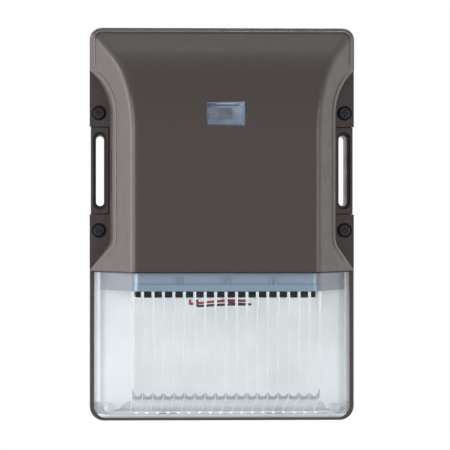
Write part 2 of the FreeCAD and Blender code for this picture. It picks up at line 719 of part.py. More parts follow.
def front_cuts():
    """Holes in the front casting: screws, notches, window, leads and slits."""
    tools = pad_notches() + grip_slits()
    for x, z in cover_screw_places():
        tools.append(rod(x, z, SCREW_R + SCREW_HOLE_FIT, BOX_DEPTH - PAST, EAR_DEPTH + PAST))
        tools.append(rod(x, z, SCREW_HEAD_R + SEAT_ROOM, SEAT_DEPTH, EAR_DEPTH + PAST))
    for x, z in driver_places():
        tools.append(rod(x, z, M3_BORE_R, DRIVER_FAR - PAST, DRIVER_FAR + M3_LONG))
    for side in SIDES:
        tools.append(rod(side * TAB_SCREW_X, TAB_SCREW_Z, M3_BORE_R, BOX_DEPTH,
                         LENS_FLANGE_BACK + M3_LONG + PAST))
        tools.append(rod(side * CELL_FOOT_X, WINDOW_Z, M3_BORE_R, CELL_SEAT - PAST,
                         CELL_SEAT + M3_LONG - CELL_BRIDGE + PAST))
    for x, depth in sink_screw_places():
        tools.append(rod_up(x, depth, M3_R + HOLE_FIT, HOOD_BOTTOM - PAST, SHELF_TOP + PAST))
    tools.append(rod_up(0, LEAD_HOLE_D, LEAD_HOLE_R, HOOD_BOTTOM - PAST, SHELF_TOP + PAST))
    tools.append(rod(GROUND_X, GROUND_Z, M3_BORE_R, GROUND_SEAT - PAST, GROUND_SEAT + M3_LONG))
    tools.append(window_block(WINDOW_GAP))
    return tools


# ---------------------------------------------------------------------------- lens
def lens_half(depth, inset):
    """Half width of the lens at a depth."""
    slope = (OPENING_HALF - LENS_OPENING_FIT - LENS_FRONT_HALF) / (LENS_FRONT - EAR_DEPTH)
    return LENS_FRONT_HALF + (LENS_FRONT - depth) * slope - inset * math.hypot(1, slope)


def lens_floor(depth, inset):
    """Height of the lens's underside at a depth."""
    slope = LENS_RISE / (LENS_FRONT - EAR_DEPTH)
    low = OPENING_BOTTOM + LENS_OPENING_FIT
    return low + (depth - EAR_DEPTH) * slope + inset * math.hypot(1, slope)


def lens_body(inset, top, back):
    """Lens block with rounded corners, its faces moved in by inset."""
    front = LENS_FRONT - inset
    side_view = [at(-WIDTH, back, top), at(-WIDTH, front, top),
                 at(-WIDTH, front, lens_floor(front, inset)), at(-WIDTH, back, lens_floor(back, inset))]
    face = closed_face(side_view[0], [(p,) for p in side_view[1:]])
    body = face.extrude(V(2 * WIDTH, 0, 0))
    plan = [at(side * lens_half(depth, inset), depth, BOTTOM)
            for depth, side in ((back, -1), (front, -1), (front, 1), (back, 1))]
    body = body.common(closed_face(plan[0], [(p,) for p in plan[1:]]).extrude(V(0, 0, HEIGHT)))
    rounds = []
    for edge in body.Edges:
        box = edge.BoundBox
        flat_top = box.ZMin > top - TOUCH
        flat_back = -box.YMin < back + TOUCH
        if not flat_top and not flat_back:
            rounds.append(edge)
    rounds = [e for e in rounds if not (e.BoundBox.XLength < TOUCH and e.BoundBox.YLength > TOUCH)]
    return body.makeFillet(LENS_ROUND - inset, rounds)


def flutes():
    """Upright bars of glassy plastic on the inside of the lens front."""
    inner = LENS_FRONT - LENS_WALL
    sag = FLUTE_R - math.sqrt(FLUTE_R ** 2 - (FLUTE_PITCH / 2) ** 2)
    bars = []
    for number in range(FLUTE_COUNT):
        x = (number - (FLUTE_COUNT - 1) / 2) * FLUTE_PITCH
        bar = rod_up(x, inner - sag + FLUTE_R, FLUTE_R, FLUTE_BOTTOM, FLUTE_TOP)
        limits = block(x - FLUTE_PITCH / 2, x + FLUTE_PITCH / 2, inner - sag - PAST,
                       LENS_FRONT - LENS_WALL / 2, BOTTOM, TOP)
        bars.append(bar.common(limits))
    return join(bars[0], *bars[1:])


def lens_neck(back):
    """Room for the lens in its opening and in front of it."""
    return plate(OPENING_HALF - LENS_OPENING_FIT, OPENING_BOTTOM + LENS_OPENING_FIT, HOOD_BOTTOM,
                 OPENING_TOP_ROUND, FLANGE_CORNER, back, DEPTH)


def lens_posts(radius, d0, d1):
    """Round posts in the lower corners of the lens."""
    return [rod(side * POST_X, POST_Z, radius, d0, d1) for side in SIDES]


def lens():
    """Clear lens: open box shape, flange at its back, flutes inside its front."""
    shell = lens_body(0, LENS_TOP, LENS_FLANGE_BACK)
    shell = shell.common(lens_neck(LENS_FLANGE_FRONT))
    flange = lens_stack(0, LENS_FLANGE_BACK, LENS_FLANGE_FRONT)
    hollow = lens_body(LENS_WALL, LENS_TOP + PAST, LENS_FLANGE_BACK - PAST)
    front_part = block(-WIDTH, WIDTH, LENS_FLANGE_FRONT, DEPTH, BOTTOM, TOP)
    back_part = block(-WIDTH, WIDTH, 0, LENS_FLANGE_FRONT, BOTTOM, LENS_TOP - LENS_BAR)
    body = cut(join(flange, shell), hollow.common(front_part), hollow.common(back_part))
    post_front = LENS_FLANGE_BACK + POST_LONG
    webs = [block(side * POST_X - WEB_HALF, side * POST_X + WEB_HALF, LENS_FLANGE_BACK, post_front,
                  OPENING_BOTTOM + LENS_WALL, POST_Z) for side in SIDES]
    body = join(join(body, flutes()), *webs, *lens_posts(POST_R, LENS_FLANGE_BACK, post_front))
    return cut(body, *lens_posts(M3_BORE_R, LENS_FLANGE_BACK - PAST, post_front - POST_END))


def lens_gasket():
    """Flat seal between the casting's lip and the lens flange."""
    ring = lens_stack(0, LENS_FLANGE_FRONT, LIP_BACK)
    return cut(ring, lens_opening())


def lens_top_seal():
    """Seal on the lens's upper edge, under the floor of the hood."""
    outside = lens_body(0, HOOD_BOTTOM, LIP_BACK)
    inside = lens_body(LENS_WALL, HOOD_BOTTOM + PAST, LIP_BACK - PAST)
    band = block(-WIDTH, WIDTH, LIP_BACK, DEPTH, LENS_TOP, HOOD_BOTTOM)
    return cut(outside.common(band).common(lens_neck(LIP_BACK)), inside)


# ------------------------------------------------------------------------ reflector
def reflector():
    """White sheet behind the lens, with a shelf under the LEDs."""
    sheet = lens_stack(0, BOX_DEPTH, LENS_FLANGE_BACK)
    reach = TAB_SCREW_X + TAB_SIDE
    tab = block(-reach, reach, BOX_DEPTH, LENS_FLANGE_BACK, SHELF_TOP - PAST, TAB_SCREW_Z + TAB_TOP)
    shelf_low = SHEET_TOP_Z - REFLECTOR_THICK
    shelf = block(-FRAME_HALF, FRAME_HALF, LENS_FLANGE_BACK, FRAME_FAR - SHEET_FRONT_IN,
                  shelf_low, SHEET_TOP_Z)
    half = LED_BOARD_HALF - SHEET_OVERLAP
    window = block(-half, half, LED_BOARD_NEAR + SHEET_OVERLAP, LED_BOARD_FAR - SHEET_OVERLAP,
                   shelf_low - PAST, SHEET_TOP_Z + PAST)
    tools = [window, rod_up(0, LEAD_HOLE_D, LEAD_HOLE_R, shelf_low - PAST, SHEET_TOP_Z + PAST)]
    back, front = BOX_DEPTH - PAST, LENS_FLANGE_BACK + PAST
    tools += lug_blocks(LUG_GAP, back, front)
    tools += lens_posts(M3_R + HOLE_FIT, back, front)
    tools += [rod(side * TAB_SCREW_X, TAB_SCREW_Z, M3_R + HOLE_FIT, back, front) for side in SIDES]
    return cut(join(sheet, tab, shelf), *tools)


def reflector_screws():
    forward = V(0, 1, 0)
    screws = [m3_screw(at(side * TAB_SCREW_X, BOX_DEPTH, TAB_SCREW_Z), forward) for side in SIDES]
    screws += [m3_screw(at(side * POST_X, BOX_DEPTH, POST_Z), forward) for side in SIDES]
    return Part.makeCompound(screws)


# ---------------------------------------------------------------------- LED light engine
def board_middle():
    return (LED_BOARD_NEAR + LED_BOARD_FAR) / 2


def sink_screw_places():
    """Screws that hold the heat sink under the hood's floor."""
    return [(side * (LED_BOARD_HALF - SINK_SCREW_IN), board_middle()) for side in SIDES]


def sink_ribs():
    """Pairs of small upright ribs on the heat sink's front."""
    front = LENS_FRONT - LENS_WALL - SINK_GAP
    ribs = []
    for number in (-1, 0, 1):
        for side in SIDES:
            x = number * SINK_RIB_PITCH + side * (SINK_RIB_HALF_GAP + SINK_RIB_WIDE / 2)
            ribs.append(block(x - SINK_RIB_WIDE / 2, x + SINK_RIB_WIDE / 2, front - SINK_STEP - PAST,
                              front, SINK_STEP_Z, HOOD_BOTTOM - SINK_RIB_DOWN))
    return ribs


def sink_cores():
    """Hollows let into the heat sink from behind."""
    span = 2 * LED_BOARD_HALF / SINK_CORES
    half = span / 2 - SINK_CORE_WALL - M3_HEAD_R
    cores = []
    for number in range(SINK_CORES):
        x = (number - (SINK_CORES - 1) / 2) * span
        cores.append(block(x - half, x + half, SINK_BACK - PAST, LED_BOARD_FAR,
                           SINK_BOTTOM + SINK_CORE_WALL, HOOD_BOTTOM - SINK_CORE_WALL))
    return cores


def led_heatsink():
    """Aluminium block under the hood's floor; its lower front stands proud."""
    gap = LENS_WALL + SINK_GAP
    upper = lens_body(gap + SINK_STEP, HOOD_BOTTOM, SINK_BACK)
    upper = upper.common(block(-WIDTH, WIDTH, SINK_BACK, DEPTH, SINK_STEP_Z, HOOD_BOTTOM))
    lower = lens_body(gap, HOOD_BOTTOM, SINK_BACK)
    lower = lower.common(block(-WIDTH, WIDTH, SINK_BACK, DEPTH, SINK_BOTTOM, SINK_STEP_Z))
    low, high = SINK_BOTTOM - PAST, HOOD_BOTTOM + PAST
    tools = sink_cores()
    tools.append(rod_up(0, LEAD_HOLE_D, LEAD_HOLE_R, low, high))
    tools.append(block(-LEAD_HOLE_R, LEAD_HOLE_R, SINK_BACK - PAST, LEAD_HOLE_D, low, high))
    tools += [rod_up(x, depth, M3_BORE_R, HOOD_BOTTOM - M3_LONG, high)
              for x, depth in sink_screw_places()]
    tools += [rod_up(x, depth, M3_BORE_R, low, SINK_BOTTOM + M3_LONG)
              for x, depth in board_screw_places()]
    return cut(join(upper, lower, *sink_ribs()), *tools)


def heatsink_screws():
    """Screws down through the hood's floor into the heat sink."""
    return Part.makeCompound([m3_screw(at(x, depth, SHELF_TOP), V(0, 0, 1))
                              for x, depth in sink_screw_places()])


def board_screw_places():
    """Screws that hold the LED board to the heat sink."""
    return [(side * (LED_BOARD_HALF - M3_HEAD_R - LED_SCREW_IN), board_middle()) for side in SIDES]


def board_slab(z0, z1):
    """Plate of the LED board's outline with its screw holes."""
    slab = block(-LED_BOARD_HALF, LED_BOARD_HALF, LED_BOARD_NEAR, LED_BOARD_FAR, z0, z1)
    holes = [rod_up(x, depth, M3_R + HOLE_FIT, z0 - PAST, z1 + PAST)
             for x, depth in board_screw_places()]
    return cut(slab, *holes)


def thermal_pad():
    return board_slab(SINK_BOTTOM - PAD_THERMAL, SINK_BOTTOM)


def led_board():
    return board_slab(LED_FACE, LED_FACE + LED_BOARD_THICK)


def led_chips():
    """Rows of LED packages on the underside of the board, clear of the plug."""
    half = LED_SIZE / 2
    chips = []
    for row in range(LED_ROWS):
        depth = LED_BOARD_NEAR + LED_NEAR_ROOM + row * LED_PITCH_D
        for column in range(LED_COLUMNS):
            x = (column - (LED_COLUMNS - 1) / 2) * LED_PITCH_X
            over_plug = abs(x - LED_PLUG_X) < LED_PLUG_LONG / 2 + LED_SIZE
            if over_plug and abs(depth - LED_PLUG_D) < LED_PLUG_WIDE / 2 + LED_SIZE:
                continue
            chips.append(block(x - half, x + half, depth - half, depth + half,
                               LED_FACE - LED_TALL, LED_FACE))
    return Part.makeCompound(chips)


def led_board_screws():
    return Part.makeCompound([m3_screw(at(x, depth, LED_FACE), V(0, 0, -1))
                              for x, depth in board_screw_places()])


def led_connector():
    """Small plug housing on the board, with two lead sockets in its lower face."""
    low = LED_FACE - LED_PLUG_TALL
    body = block(LED_PLUG_X - LED_PLUG_LONG / 2, LED_PLUG_X + LED_PLUG_LONG / 2,
                 LED_PLUG_D - LED_PLUG_WIDE / 2, LED_PLUG_D + LED_PLUG_WIDE / 2, low, LED_FACE)
    sockets = [rod_up(x, LED_PLUG_D, THIN_LEAD_R, low - PAST, low + LED_SOCKET_DEEP)
               for x in led_lead_ends()]
    return cut(body, *sockets)


def led_lead_ends():
    """Where the two leads enter the plug, left first."""
    return [LED_PLUG_X - LED_PLUG_LONG / 4, LED_PLUG_X + LED_PLUG_LONG / 4]


def led_frame():
    """Black moulded frame round the LED board."""
    low, high = FRAME_BOTTOM - PAST, SINK_BOTTOM + PAST
    outer = block(-FRAME_HALF, FRAME_HALF, LED_BOARD_NEAR - FRAME_BACK, FRAME_FAR,
                  FRAME_BOTTOM, SINK_BOTTOM)
    half = LED_BOARD_HALF + HOLE_FIT
    tools = [block(-half, half, LED_BOARD_NEAR - HOLE_FIT, LED_BOARD_FAR + HOLE_FIT, low, high)]
    for side in SIDES:
        edges = sorted((side * FRAME_HALF, side * (FRAME_HALF - FRAME_CORNER_LONG)))
        tools.append(block(edges[0], edges[1], FRAME_FAR - FRAME_CORNER_DEEP, FRAME_FAR + PAST,
                           low, high))
    return cut(outer, *tools)


def led_lead(name, side):
    """Lead from the driver, through the hood's floor, to the LED board's plug."""
    x = side * THIN_LEAD_R * 1.5
    lane = side * THIN_LEAD_R * 1.4
    end_x = led_lead_ends()[0] if side < 0 else led_lead_ends()[1]
    points = [
        at(OUT_BUSHING_X + x, OUT_BUSHING_D, DRIVER_LOW + 3.0),
        at(OUT_BUSHING_X + x, OUT_BUSHING_D - 1.0, DRIVER_LOW - 6.5),
        at(x, LEAD_HOLE_D, SHELF_TOP + 6.0),
        at(x, LEAD_HOLE_D + side * 0.2, HOOD_BOTTOM - 4.0),
        at(x + side, LEAD_HOLE_D + 1.0, SHEET_TOP_Z - 3.6 - lane),
        at(x + 12.0, LED_BOARD_NEAR + 10.0, SHEET_TOP_Z - 3.8 - lane),
        at(x + 17.0, LED_BOARD_FAR - 1.0, SHEET_TOP_Z - 3.4 - lane),
        at(x - 4.0, LED_BOARD_FAR + 2.5, SHEET_TOP_Z - 3.4 - lane),
        at(end_x, LED_PLUG_D + 2.5, SHEET_TOP_Z - 5.0 - 0.6 * lane),
        at(end_x, LED_PLUG_D, SHEET_TOP_Z - 4.0),
        at(end_x, LED_PLUG_D, LED_FACE - LED_PLUG_TALL + LED_SOCKET_DEEP),
    ]
    return tube(name, points, THIN_LEAD_R)


def shelf_grommet():
    """Rubber bush in the hood's floor where the LED leads go through."""
    body = rod_up(0, LEAD_HOLE_D, LEAD_HOLE_R, HOOD_BOTTOM, SHELF_TOP)
    top = SHELF_TOP + SHELF_GROMMET_LIP
    lip = rod_up(0, LEAD_HOLE_D, LEAD_HOLE_R + SHELF_GROMMET_LIP, SHELF_TOP, top)
    return cut(join(body, lip), rod_up(0, LEAD_HOLE_D, GROMMET_HOLE_R, HOOD_BOTTOM - PAST, top + PAST))


# ---------------------------------------------------------------------------- driver
def driver_case():
    """Open steel box with a mounting tab at each corner of its base."""
    outer = block(-DRIVER_HALF, DRIVER_HALF, DRIVER_NEAR, DRIVER_FAR, DRIVER_LOW, DRIVER_HIGH)
    upright = [edge for edge in outer.Edges if edge.BoundBox.YLength > TOUCH]
    outer = outer.makeFillet(CASE_ROUND, upright)
    inner = block(-DRIVER_HALF + DRIVER_WALL, DRIVER_HALF - DRIVER_WALL, DRIVER_NEAR - PAST,
                  DRIVER_FAR - DRIVER_WALL, DRIVER_LOW + DRIVER_WALL, DRIVER_HIGH - DRIVER_WALL)
    tabs = []
    holes = []
    for x, z in driver_places():
        side = 1 if x > 0 else -1
        edges = sorted((side * (DRIVER_HALF - DRIVER_WALL), side * (DRIVER_HALF + DRIVER_TAB)))
        tabs.append(block(edges[0], edges[1], DRIVER_FAR - DRIVER_WALL, DRIVER_FAR,
                          z - DRIVER_TAB_WIDE / 2, z + DRIVER_TAB_WIDE / 2))
        holes.append(rod(x, z, M3_R + HOLE_FIT, DRIVER_FAR - DRIVER_WALL - PAST, DRIVER_FAR + PAST))
    reach = DRIVER_WALL + PAST
    holes += [placed(Part.makeCylinder(BUSHING_R, 2 * reach, V(0, 0, -reach)), point, axis)
              for point, axis in bushing_places()]
    return cut(join(cut(outer, inner), *tabs), *holes)


def bushing_places():
    """Outer face of the wall and the outward direction for each lead bushing."""
    return [
        (at(OUT_BUSHING_X, OUT_BUSHING_D, DRIVER_LOW), V(0, 0, -1)),
        (at(-DRIVER_HALF, OUT_BUSHING_D, IN_BUSHING_Z), V(-1, 0, 0)),
        (at(TOP_BUSHING_X, OUT_BUSHING_D, DRIVER_HIGH), V(0, 0, 1)),
    ]


def driver_bushings():
    """Plastic bushings where leads leave the driver's case."""
    length = BUSHING_LONG + BUSHING_FLANGE + 2 * PAST
    bushings = []
    for point, axis in bushing_places():
        neck = Part.makeCylinder(BUSHING_R, BUSHING_LONG, V(0, 0, -BUSHING_LONG))
        flange = Part.makeCylinder(BUSHING_R + BUSHING_LIP, BUSHING_FLANGE)
        bore = Part.makeCylinder(BUSHING_R - BUSHING_WALL, length, V(0, 0, -BUSHING_LONG - PAST))
        bushings.append(placed(cut(join(neck, flange), bore), point, axis))
    return Part.makeCompound(bushings)


def driver_lid():
    lid = block(-DRIVER_HALF, DRIVER_HALF, DRIVER_NEAR - DRIVER_WALL, DRIVER_NEAR,
                DRIVER_LOW, DRIVER_HIGH)
    upright = [edge for edge in lid.Edges if edge.BoundBox.YLength > TOUCH]
    return lid.makeFillet(CASE_ROUND, upright)


def driver_board():
    """Circuit board on four moulded standoffs."""
    gap = DRIVER_WALL + DRIVER_BOARD_FIT
    base = BOARD_FACE + DRIVER_BOARD_THICK
    board = block(-DRIVER_HALF + gap, DRIVER_HALF - gap, BOARD_FACE, base,
                  DRIVER_LOW + gap, DRIVER_HIGH - gap)
    feet = [rod(side * (DRIVER_HALF - STAND_IN), z, STAND_R, base, DRIVER_FAR - DRIVER_WALL)
            for side in SIDES for z in (DRIVER_LOW + STAND_UP, DRIVER_HIGH - STAND_UP)]
    return join(board, *feet)


def driver_transformer():
    """Ferrite core round a wound bobbin."""
    low = DRIVER_LOW + CORE_UP
    middle = low + CORE_TALL / 2
    back = BOARD_FACE - CORE_STAND - CORE_DEEP
    core = block(-CORE_HALF, CORE_HALF, back, back + CORE_DEEP, low, low + CORE_TALL)
    window = block(-CORE_HALF - PAST, CORE_HALF + PAST, back + CORE_PLATE,
                   back + CORE_DEEP - CORE_PLATE, low + CORE_LEG, low + CORE_TALL - CORE_LEG)
    bobbin = block(-BOBBIN_HALF, BOBBIN_HALF, back + CORE_STAND, BOARD_FACE,
                   middle - BOBBIN_TALL / 2, middle + BOBBIN_TALL / 2)
    return join(cut(core, window), bobbin)


def driver_capacitors():
    cans = []
    for side, inward, up, radius, tall in CAPACITORS:
        cans.append(rod(side * (DRIVER_HALF - inward), DRIVER_LOW + up, radius,
                        BOARD_FACE - tall, BOARD_FACE))
    return Part.makeCompound(cans)


def driver_inductor():
    """Ring-shaped choke lying flat on the board."""
    middle = at(DRIVER_HALF - CHOKE_IN, BOARD_FACE - CHOKE_WIRE_R, DRIVER_LOW + CHOKE_UP)
    return Part.makeTorus(CHOKE_R, CHOKE_WIRE_R, middle, V(0, 1, 0))


def driver_screws():
    return Part.makeCompound([m3_screw(at(x, DRIVER_FAR - DRIVER_WALL, z), V(0, 1, 0))
                              for x, z in driver_places()])


def supply_lead(name, place, end_x):
    """Lead from the driver's input bushing to a splice cap behind the driver."""
    offset = place * LEAD_R * 1.1
    points = [
        at(-DRIVER_HALF + 3.0, OUT_BUSHING_D + offset, IN_BUSHING_Z),
        at(-DRIVER_HALF - 7.5 - offset, OUT_BUSHING_D + offset, IN_BUSHING_Z + 0.5),
        at(-DRIVER_HALF - 9.0 - offset, DRIVER_NEAR - 2.0 + offset, IN_BUSHING_Z + 10.0),
        at(-DRIVER_HALF + 2.0 - 3 * offset, SPLICE_D + 4.0, DRIVER_HIGH + 10.0),
        at((end_x - DRIVER_HALF + 2.0) / 2, SPLICE_D + 3 * offset, SPLICE_Z - 26.0),
        at(end_x, SPLICE_D, SPLICE_Z - 14.0),
        at(end_x, SPLICE_D, SPLICE_Z),
    ]
    return tube(name, points, LEAD_R)


def splice_places():
    """Middles of the three splice caps, from left to right."""
    return [number * SPLICE_PITCH for number in (-1, 0, 1)]


def splice_caps():
    """Twist-on caps on the ends of the three supply leads."""
    mouth = SPLICE_Z - SPLICE_OVER
    caps = []
    for x in splice_places():
        cone = Part.makeCone(SPLICE_WIDE_R, SPLICE_TIP_R, SPLICE_LONG, at(x, SPLICE_D, mouth), V(0, 0, 1))
        caps.append(cut(cone, rod_up(x, SPLICE_D, LEAD_R, mouth - PAST, SPLICE_Z)))
    return Part.makeCompound(caps)


# ------------------------------------------------------------------------- photocell
def tile(outer_inset, inner_inset, half, z0, z1):
    """Curved slab that follows the hood's front between two insets."""
    skin = hood_profile(outer_inset, half, HOOD_BOTTOM).cut(
        hood_profile(inner_inset, half + PAST, HOOD_BOTTOM - PAST))
    return skin.common(block(-half, half, EAR_DEPTH, DEPTH, z0, z1))


def window_block(grow):
    half = WINDOW_WIDE / 2 + grow
    tall = WINDOW_TALL / 2 + grow
    return block(-half, half, CELL_SEAT, DEPTH + PAST, WINDOW_Z - tall, WINDOW_Z + tall)


def window_flange(inner, outer):
    half = WINDOW_WIDE / 2 + WINDOW_LIP
    tall = WINDOW_TALL / 2 + WINDOW_LIP
    return tile(inner, outer, half, WINDOW_Z - tall, WINDOW_Z + tall)


def photocell_window():
    """Translucent window, a little below the hood's face, with a flange inside."""
    seal_back = HOOD_WALL + WINDOW_SEAL_THICK
    pane = tile(WINDOW_SINK, seal_back + WINDOW_LIP_THICK, WINDOW_WIDE / 2,
                WINDOW_Z - WINDOW_TALL / 2, WINDOW_Z + WINDOW_TALL / 2)
    return join(pane, window_flange(seal_back, seal_back + WINDOW_LIP_THICK))


def window_seal():
    ring = window_flange(HOOD_WALL, HOOD_WALL + WINDOW_SEAL_THICK)
    return cut(ring, window_block(WINDOW_GAP))


def inside_hood(solid):
    """Keep only what lies within the hood's wall."""
    return solid.common(hood_profile(HOOD_WALL / 2, WIDTH, HOOD_BOTTOM))


def cell_foot(side):
    """Boss that carries one end of the photocell holder."""
    return inside_hood(rod(side * CELL_FOOT_X, WINDOW_Z, BOSS_R, CELL_SEAT, DEPTH))


def ground_boss():
    """Boss behind the hood's face for the ground screw."""
    return inside_hood(rod(GROUND_X, GROUND_Z, BOSS_R, GROUND_SEAT, DEPTH))


def photocell_holder():
    """Bridge across the two feet that carries the photocell's board."""
    back = CELL_SEAT - CELL_BOARD_THICK - CELL_BRIDGE
    half = CELL_FOOT_X + BOSS_R
    low, high = WINDOW_Z - CELL_BOARD_TALL / 2, WINDOW_Z + CELL_BOARD_TALL / 2
    bridge = block(-half, half, back, back + CELL_BRIDGE, low, high)
    ends = []
    holes = []
    for side in SIDES:
        edges = sorted((side * (CELL_BOARD_HALF + HOLE_FIT), side * half))
        ends.append(block(edges[0], edges[1], back, CELL_SEAT, low, high))
        holes.append(rod(side * CELL_FOOT_X, WINDOW_Z, M3_R + HOLE_FIT, back - PAST, CELL_SEAT + PAST))
    return cut(join(bridge, *ends), *holes)


def photocell_board():
    return block(-CELL_BOARD_HALF, CELL_BOARD_HALF, CELL_SEAT - CELL_BOARD_THICK, CELL_SEAT,
                 WINDOW_Z - CELL_BOARD_TALL / 2, WINDOW_Z + CELL_BOARD_TALL / 2)


def photocell_sensor():
    half = SENSOR_SIZE / 2
    body = block(-half, half, CELL_SEAT, SENSOR_FRONT, WINDOW_Z - half, WINDOW_Z + half)
    front = edges_where(body, lambda p: abs(p.y + SENSOR_FRONT) < TOUCH)
    return body.makeFillet(SENSOR_ROUND, front)


def photocell_screws():
    seat = CELL_SEAT - CELL_BOARD_THICK - CELL_BRIDGE
    return Part.makeCompound([m3_screw(at(side * CELL_FOOT_X, seat, WINDOW_Z), V(0, 1, 0))
                              for side in SIDES])


def photocell_leads():
    """Pair of thin leads from the photocell's board to the driver."""
    leads = []
    edge = WINDOW_Z - CELL_BOARD_TALL / 2
    middle = CELL_SEAT - CELL_BOARD_THICK / 2
    for side in SIDES:
        x = TOP_BUSHING_X + side * THIN_LEAD_R * 1.3
        leads.append(tube("photocell_lead", [
            at(x - 9.0, middle, edge),
            at(x - 9.0, middle, edge - 6.0),
            at(x - 1.0, OUT_BUSHING_D + 3.0, edge - 11.0),
            at(x, OUT_BUSHING_D, DRIVER_HIGH + 7.0),
            at(x, OUT_BUSHING_D, DRIVER_HIGH - 2.0),
        ], THIN_LEAD_R))
    return Part.makeCompound(leads)


def ground_lead():
    """Ground lead with its ring lug, from the hood's boss to a splice cap."""
    end_x = splice_places()[-1]
    ring_back = GROUND_SEAT - GROUND_RING_THICK
    barrel_d = ring_back - LEAD_R / 2
    barrel_x = GROUND_X + BOSS_R
    points = [
        at(barrel_x + 5.0, barrel_d, GROUND_Z),
        at(barrel_x + 10.6, barrel_d - 1.5, GROUND_Z + 0.5),
        at(GROUND_X + 22.0, GROUND_SEAT - 14.0, GROUND_Z + 5.0),
        at(GROUND_X + 46.0, SPLICE_D + 9.0, GROUND_Z + 11.0),
        at(end_x, SPLICE_D, SPLICE_Z - 14.0),
        at(end_x, SPLICE_D, SPLICE_Z),
    ]
    ring = rod(GROUND_X, GROUND_Z, BOSS_R, ring_back, GROUND_SEAT)
    tongue = block(GROUND_X, barrel_x + BARREL_LONG / 2, ring_back, GROUND_SEAT,
                   GROUND_Z - LEAD_R, GROUND_Z + LEAD_R)
    ring = cut(join(ring, tongue), rod(GROUND_X, GROUND_Z, M3_R + HOLE_FIT, 0, DEPTH))
    barrel = rod_across(barrel_x, barrel_x + BARREL_LONG, barrel_d, GROUND_Z, LEAD_R + BARREL_WALL)
    barrel = barrel.common(block(-HALF, HALF, 0, GROUND_SEAT, BOTTOM, TOP))
    return join(ring, barrel, tube("ground_lead", points, LEAD_R))


def housing_ground_screw():
    return m3_screw(at(GROUND_X, GROUND_SEAT - GROUND_RING_THICK, GROUND_Z), V(0, 1, 0))


# -------------------------------------------------------------------------- back box
def box_plate(inward, d0, d1):
    """Slab with the back box's outline, moved in by inward."""
    return plate(BOX_HALF - inward, BOX_BOTTOM + inward, BOX_TOP - inward,
                 TOP_CORNER, BOTTOM_CORNER, d0, d1)


def ear_rooms(inner_x, low, high, d0, d1):
    """Two blocks that cover the ears, from inner_x outwards."""
    rooms = []
    for side in SIDES:
        edges = sorted((side * inner_x, side * WIDTH))
        rooms.append(block(edges[0], edges[1], d0, d1, low, high))
    return rooms


def seal_ring(fit, d0, d1):
    """Closed path of the cover seal: round the rim and inside the ears."""
    land = BOX_HALF - EAR_BLOCK_WIDE + EAR_SEAL_IN
    outer = box_plate(SEAL_IN - fit, d0, d1)
    outer_x = land + SEAL_WIDE + fit
    ring_out = cut(outer, *ear_rooms(outer_x, EAR_BLOCK_LOW + EAR_SEAL_IN + SEAL_WIDE + fit,
                                     EAR_BLOCK_HIGH - EAR_SEAL_IN - SEAL_WIDE - fit,
                                     d0 - PAST, d1 + PAST))
    inner = box_plate(SEAL_IN + SEAL_WIDE + fit, d0 - PAST, d1 + PAST)
    ring_in = cut(inner, *ear_rooms(land - fit, EAR_BLOCK_LOW + EAR_SEAL_IN - fit,
                                    EAR_BLOCK_HIGH - EAR_SEAL_IN + fit,
                                    d0 - 2 * PAST, d1 + 2 * PAST))
    return cut(ring_out, ring_in)


def cover_gasket():
    top = BOX_DEPTH - BOX_RIM_GAP
    return seal_ring(0, top - SEAL_DEEP, BOX_DEPTH)


def box_pads():
    """Raised pads, one at each side, that the slots run through."""
    outer = HALF - PAD_EDGE_IN
    pads = []
    for side in SIDES:
        edges = sorted((side * (outer - PAD_WIDE), side * outer))
        pad = block(edges[0], edges[1], BOX_BACK, PAD_DEPTH, PAD_LOW, PAD_HIGH)
        rims = edges_where(pad, lambda p: abs(p.y + PAD_DEPTH) < TOUCH)
        pads.append(pad.makeFillet(PAD_EDGE_ROUND, rims))
    return pads


def conduit_places():
    """Middle of each conduit entry on the box's skin, and its outward direction."""
    return {
        "left": (at(-BOX_HALF, BOX_DEPTH / 2, CONDUIT_Z), V(-1, 0, 0)),
        "right": (at(BOX_HALF, BOX_DEPTH / 2, CONDUIT_Z), V(1, 0, 0)),
        "bottom": (at(0, BOX_DEPTH / 2, BOX_BOTTOM), V(0, 0, -1)),
    }


def wall_holes():
    """Wall screw holes and the junction-box slots."""
    back, front = -PAST, BOX_BACK + PAST
    places = [(x * (BOX_HALF - WALL_HOLE_IN), z * (BOX_TOP - WALL_HOLE_DOWN)) for x in SIDES for z in SIDES]
    holes = [rod(x, z, WALL_HOLE_R, back, front) for x, z in places]
    radius = JBOX_SLOT_WIDE / 2
    reach = JBOX_SLOT_LONG / 2 - radius
    for side in SIDES:
        middle = side * JBOX_SPACING / 2
        holes.append(block(middle - reach, middle + reach, back, front,
                           ENTRY_Z - radius, ENTRY_Z + radius))
        holes += [rod(middle + end * reach, ENTRY_Z, radius, back, front) for end in SIDES]
    return holes


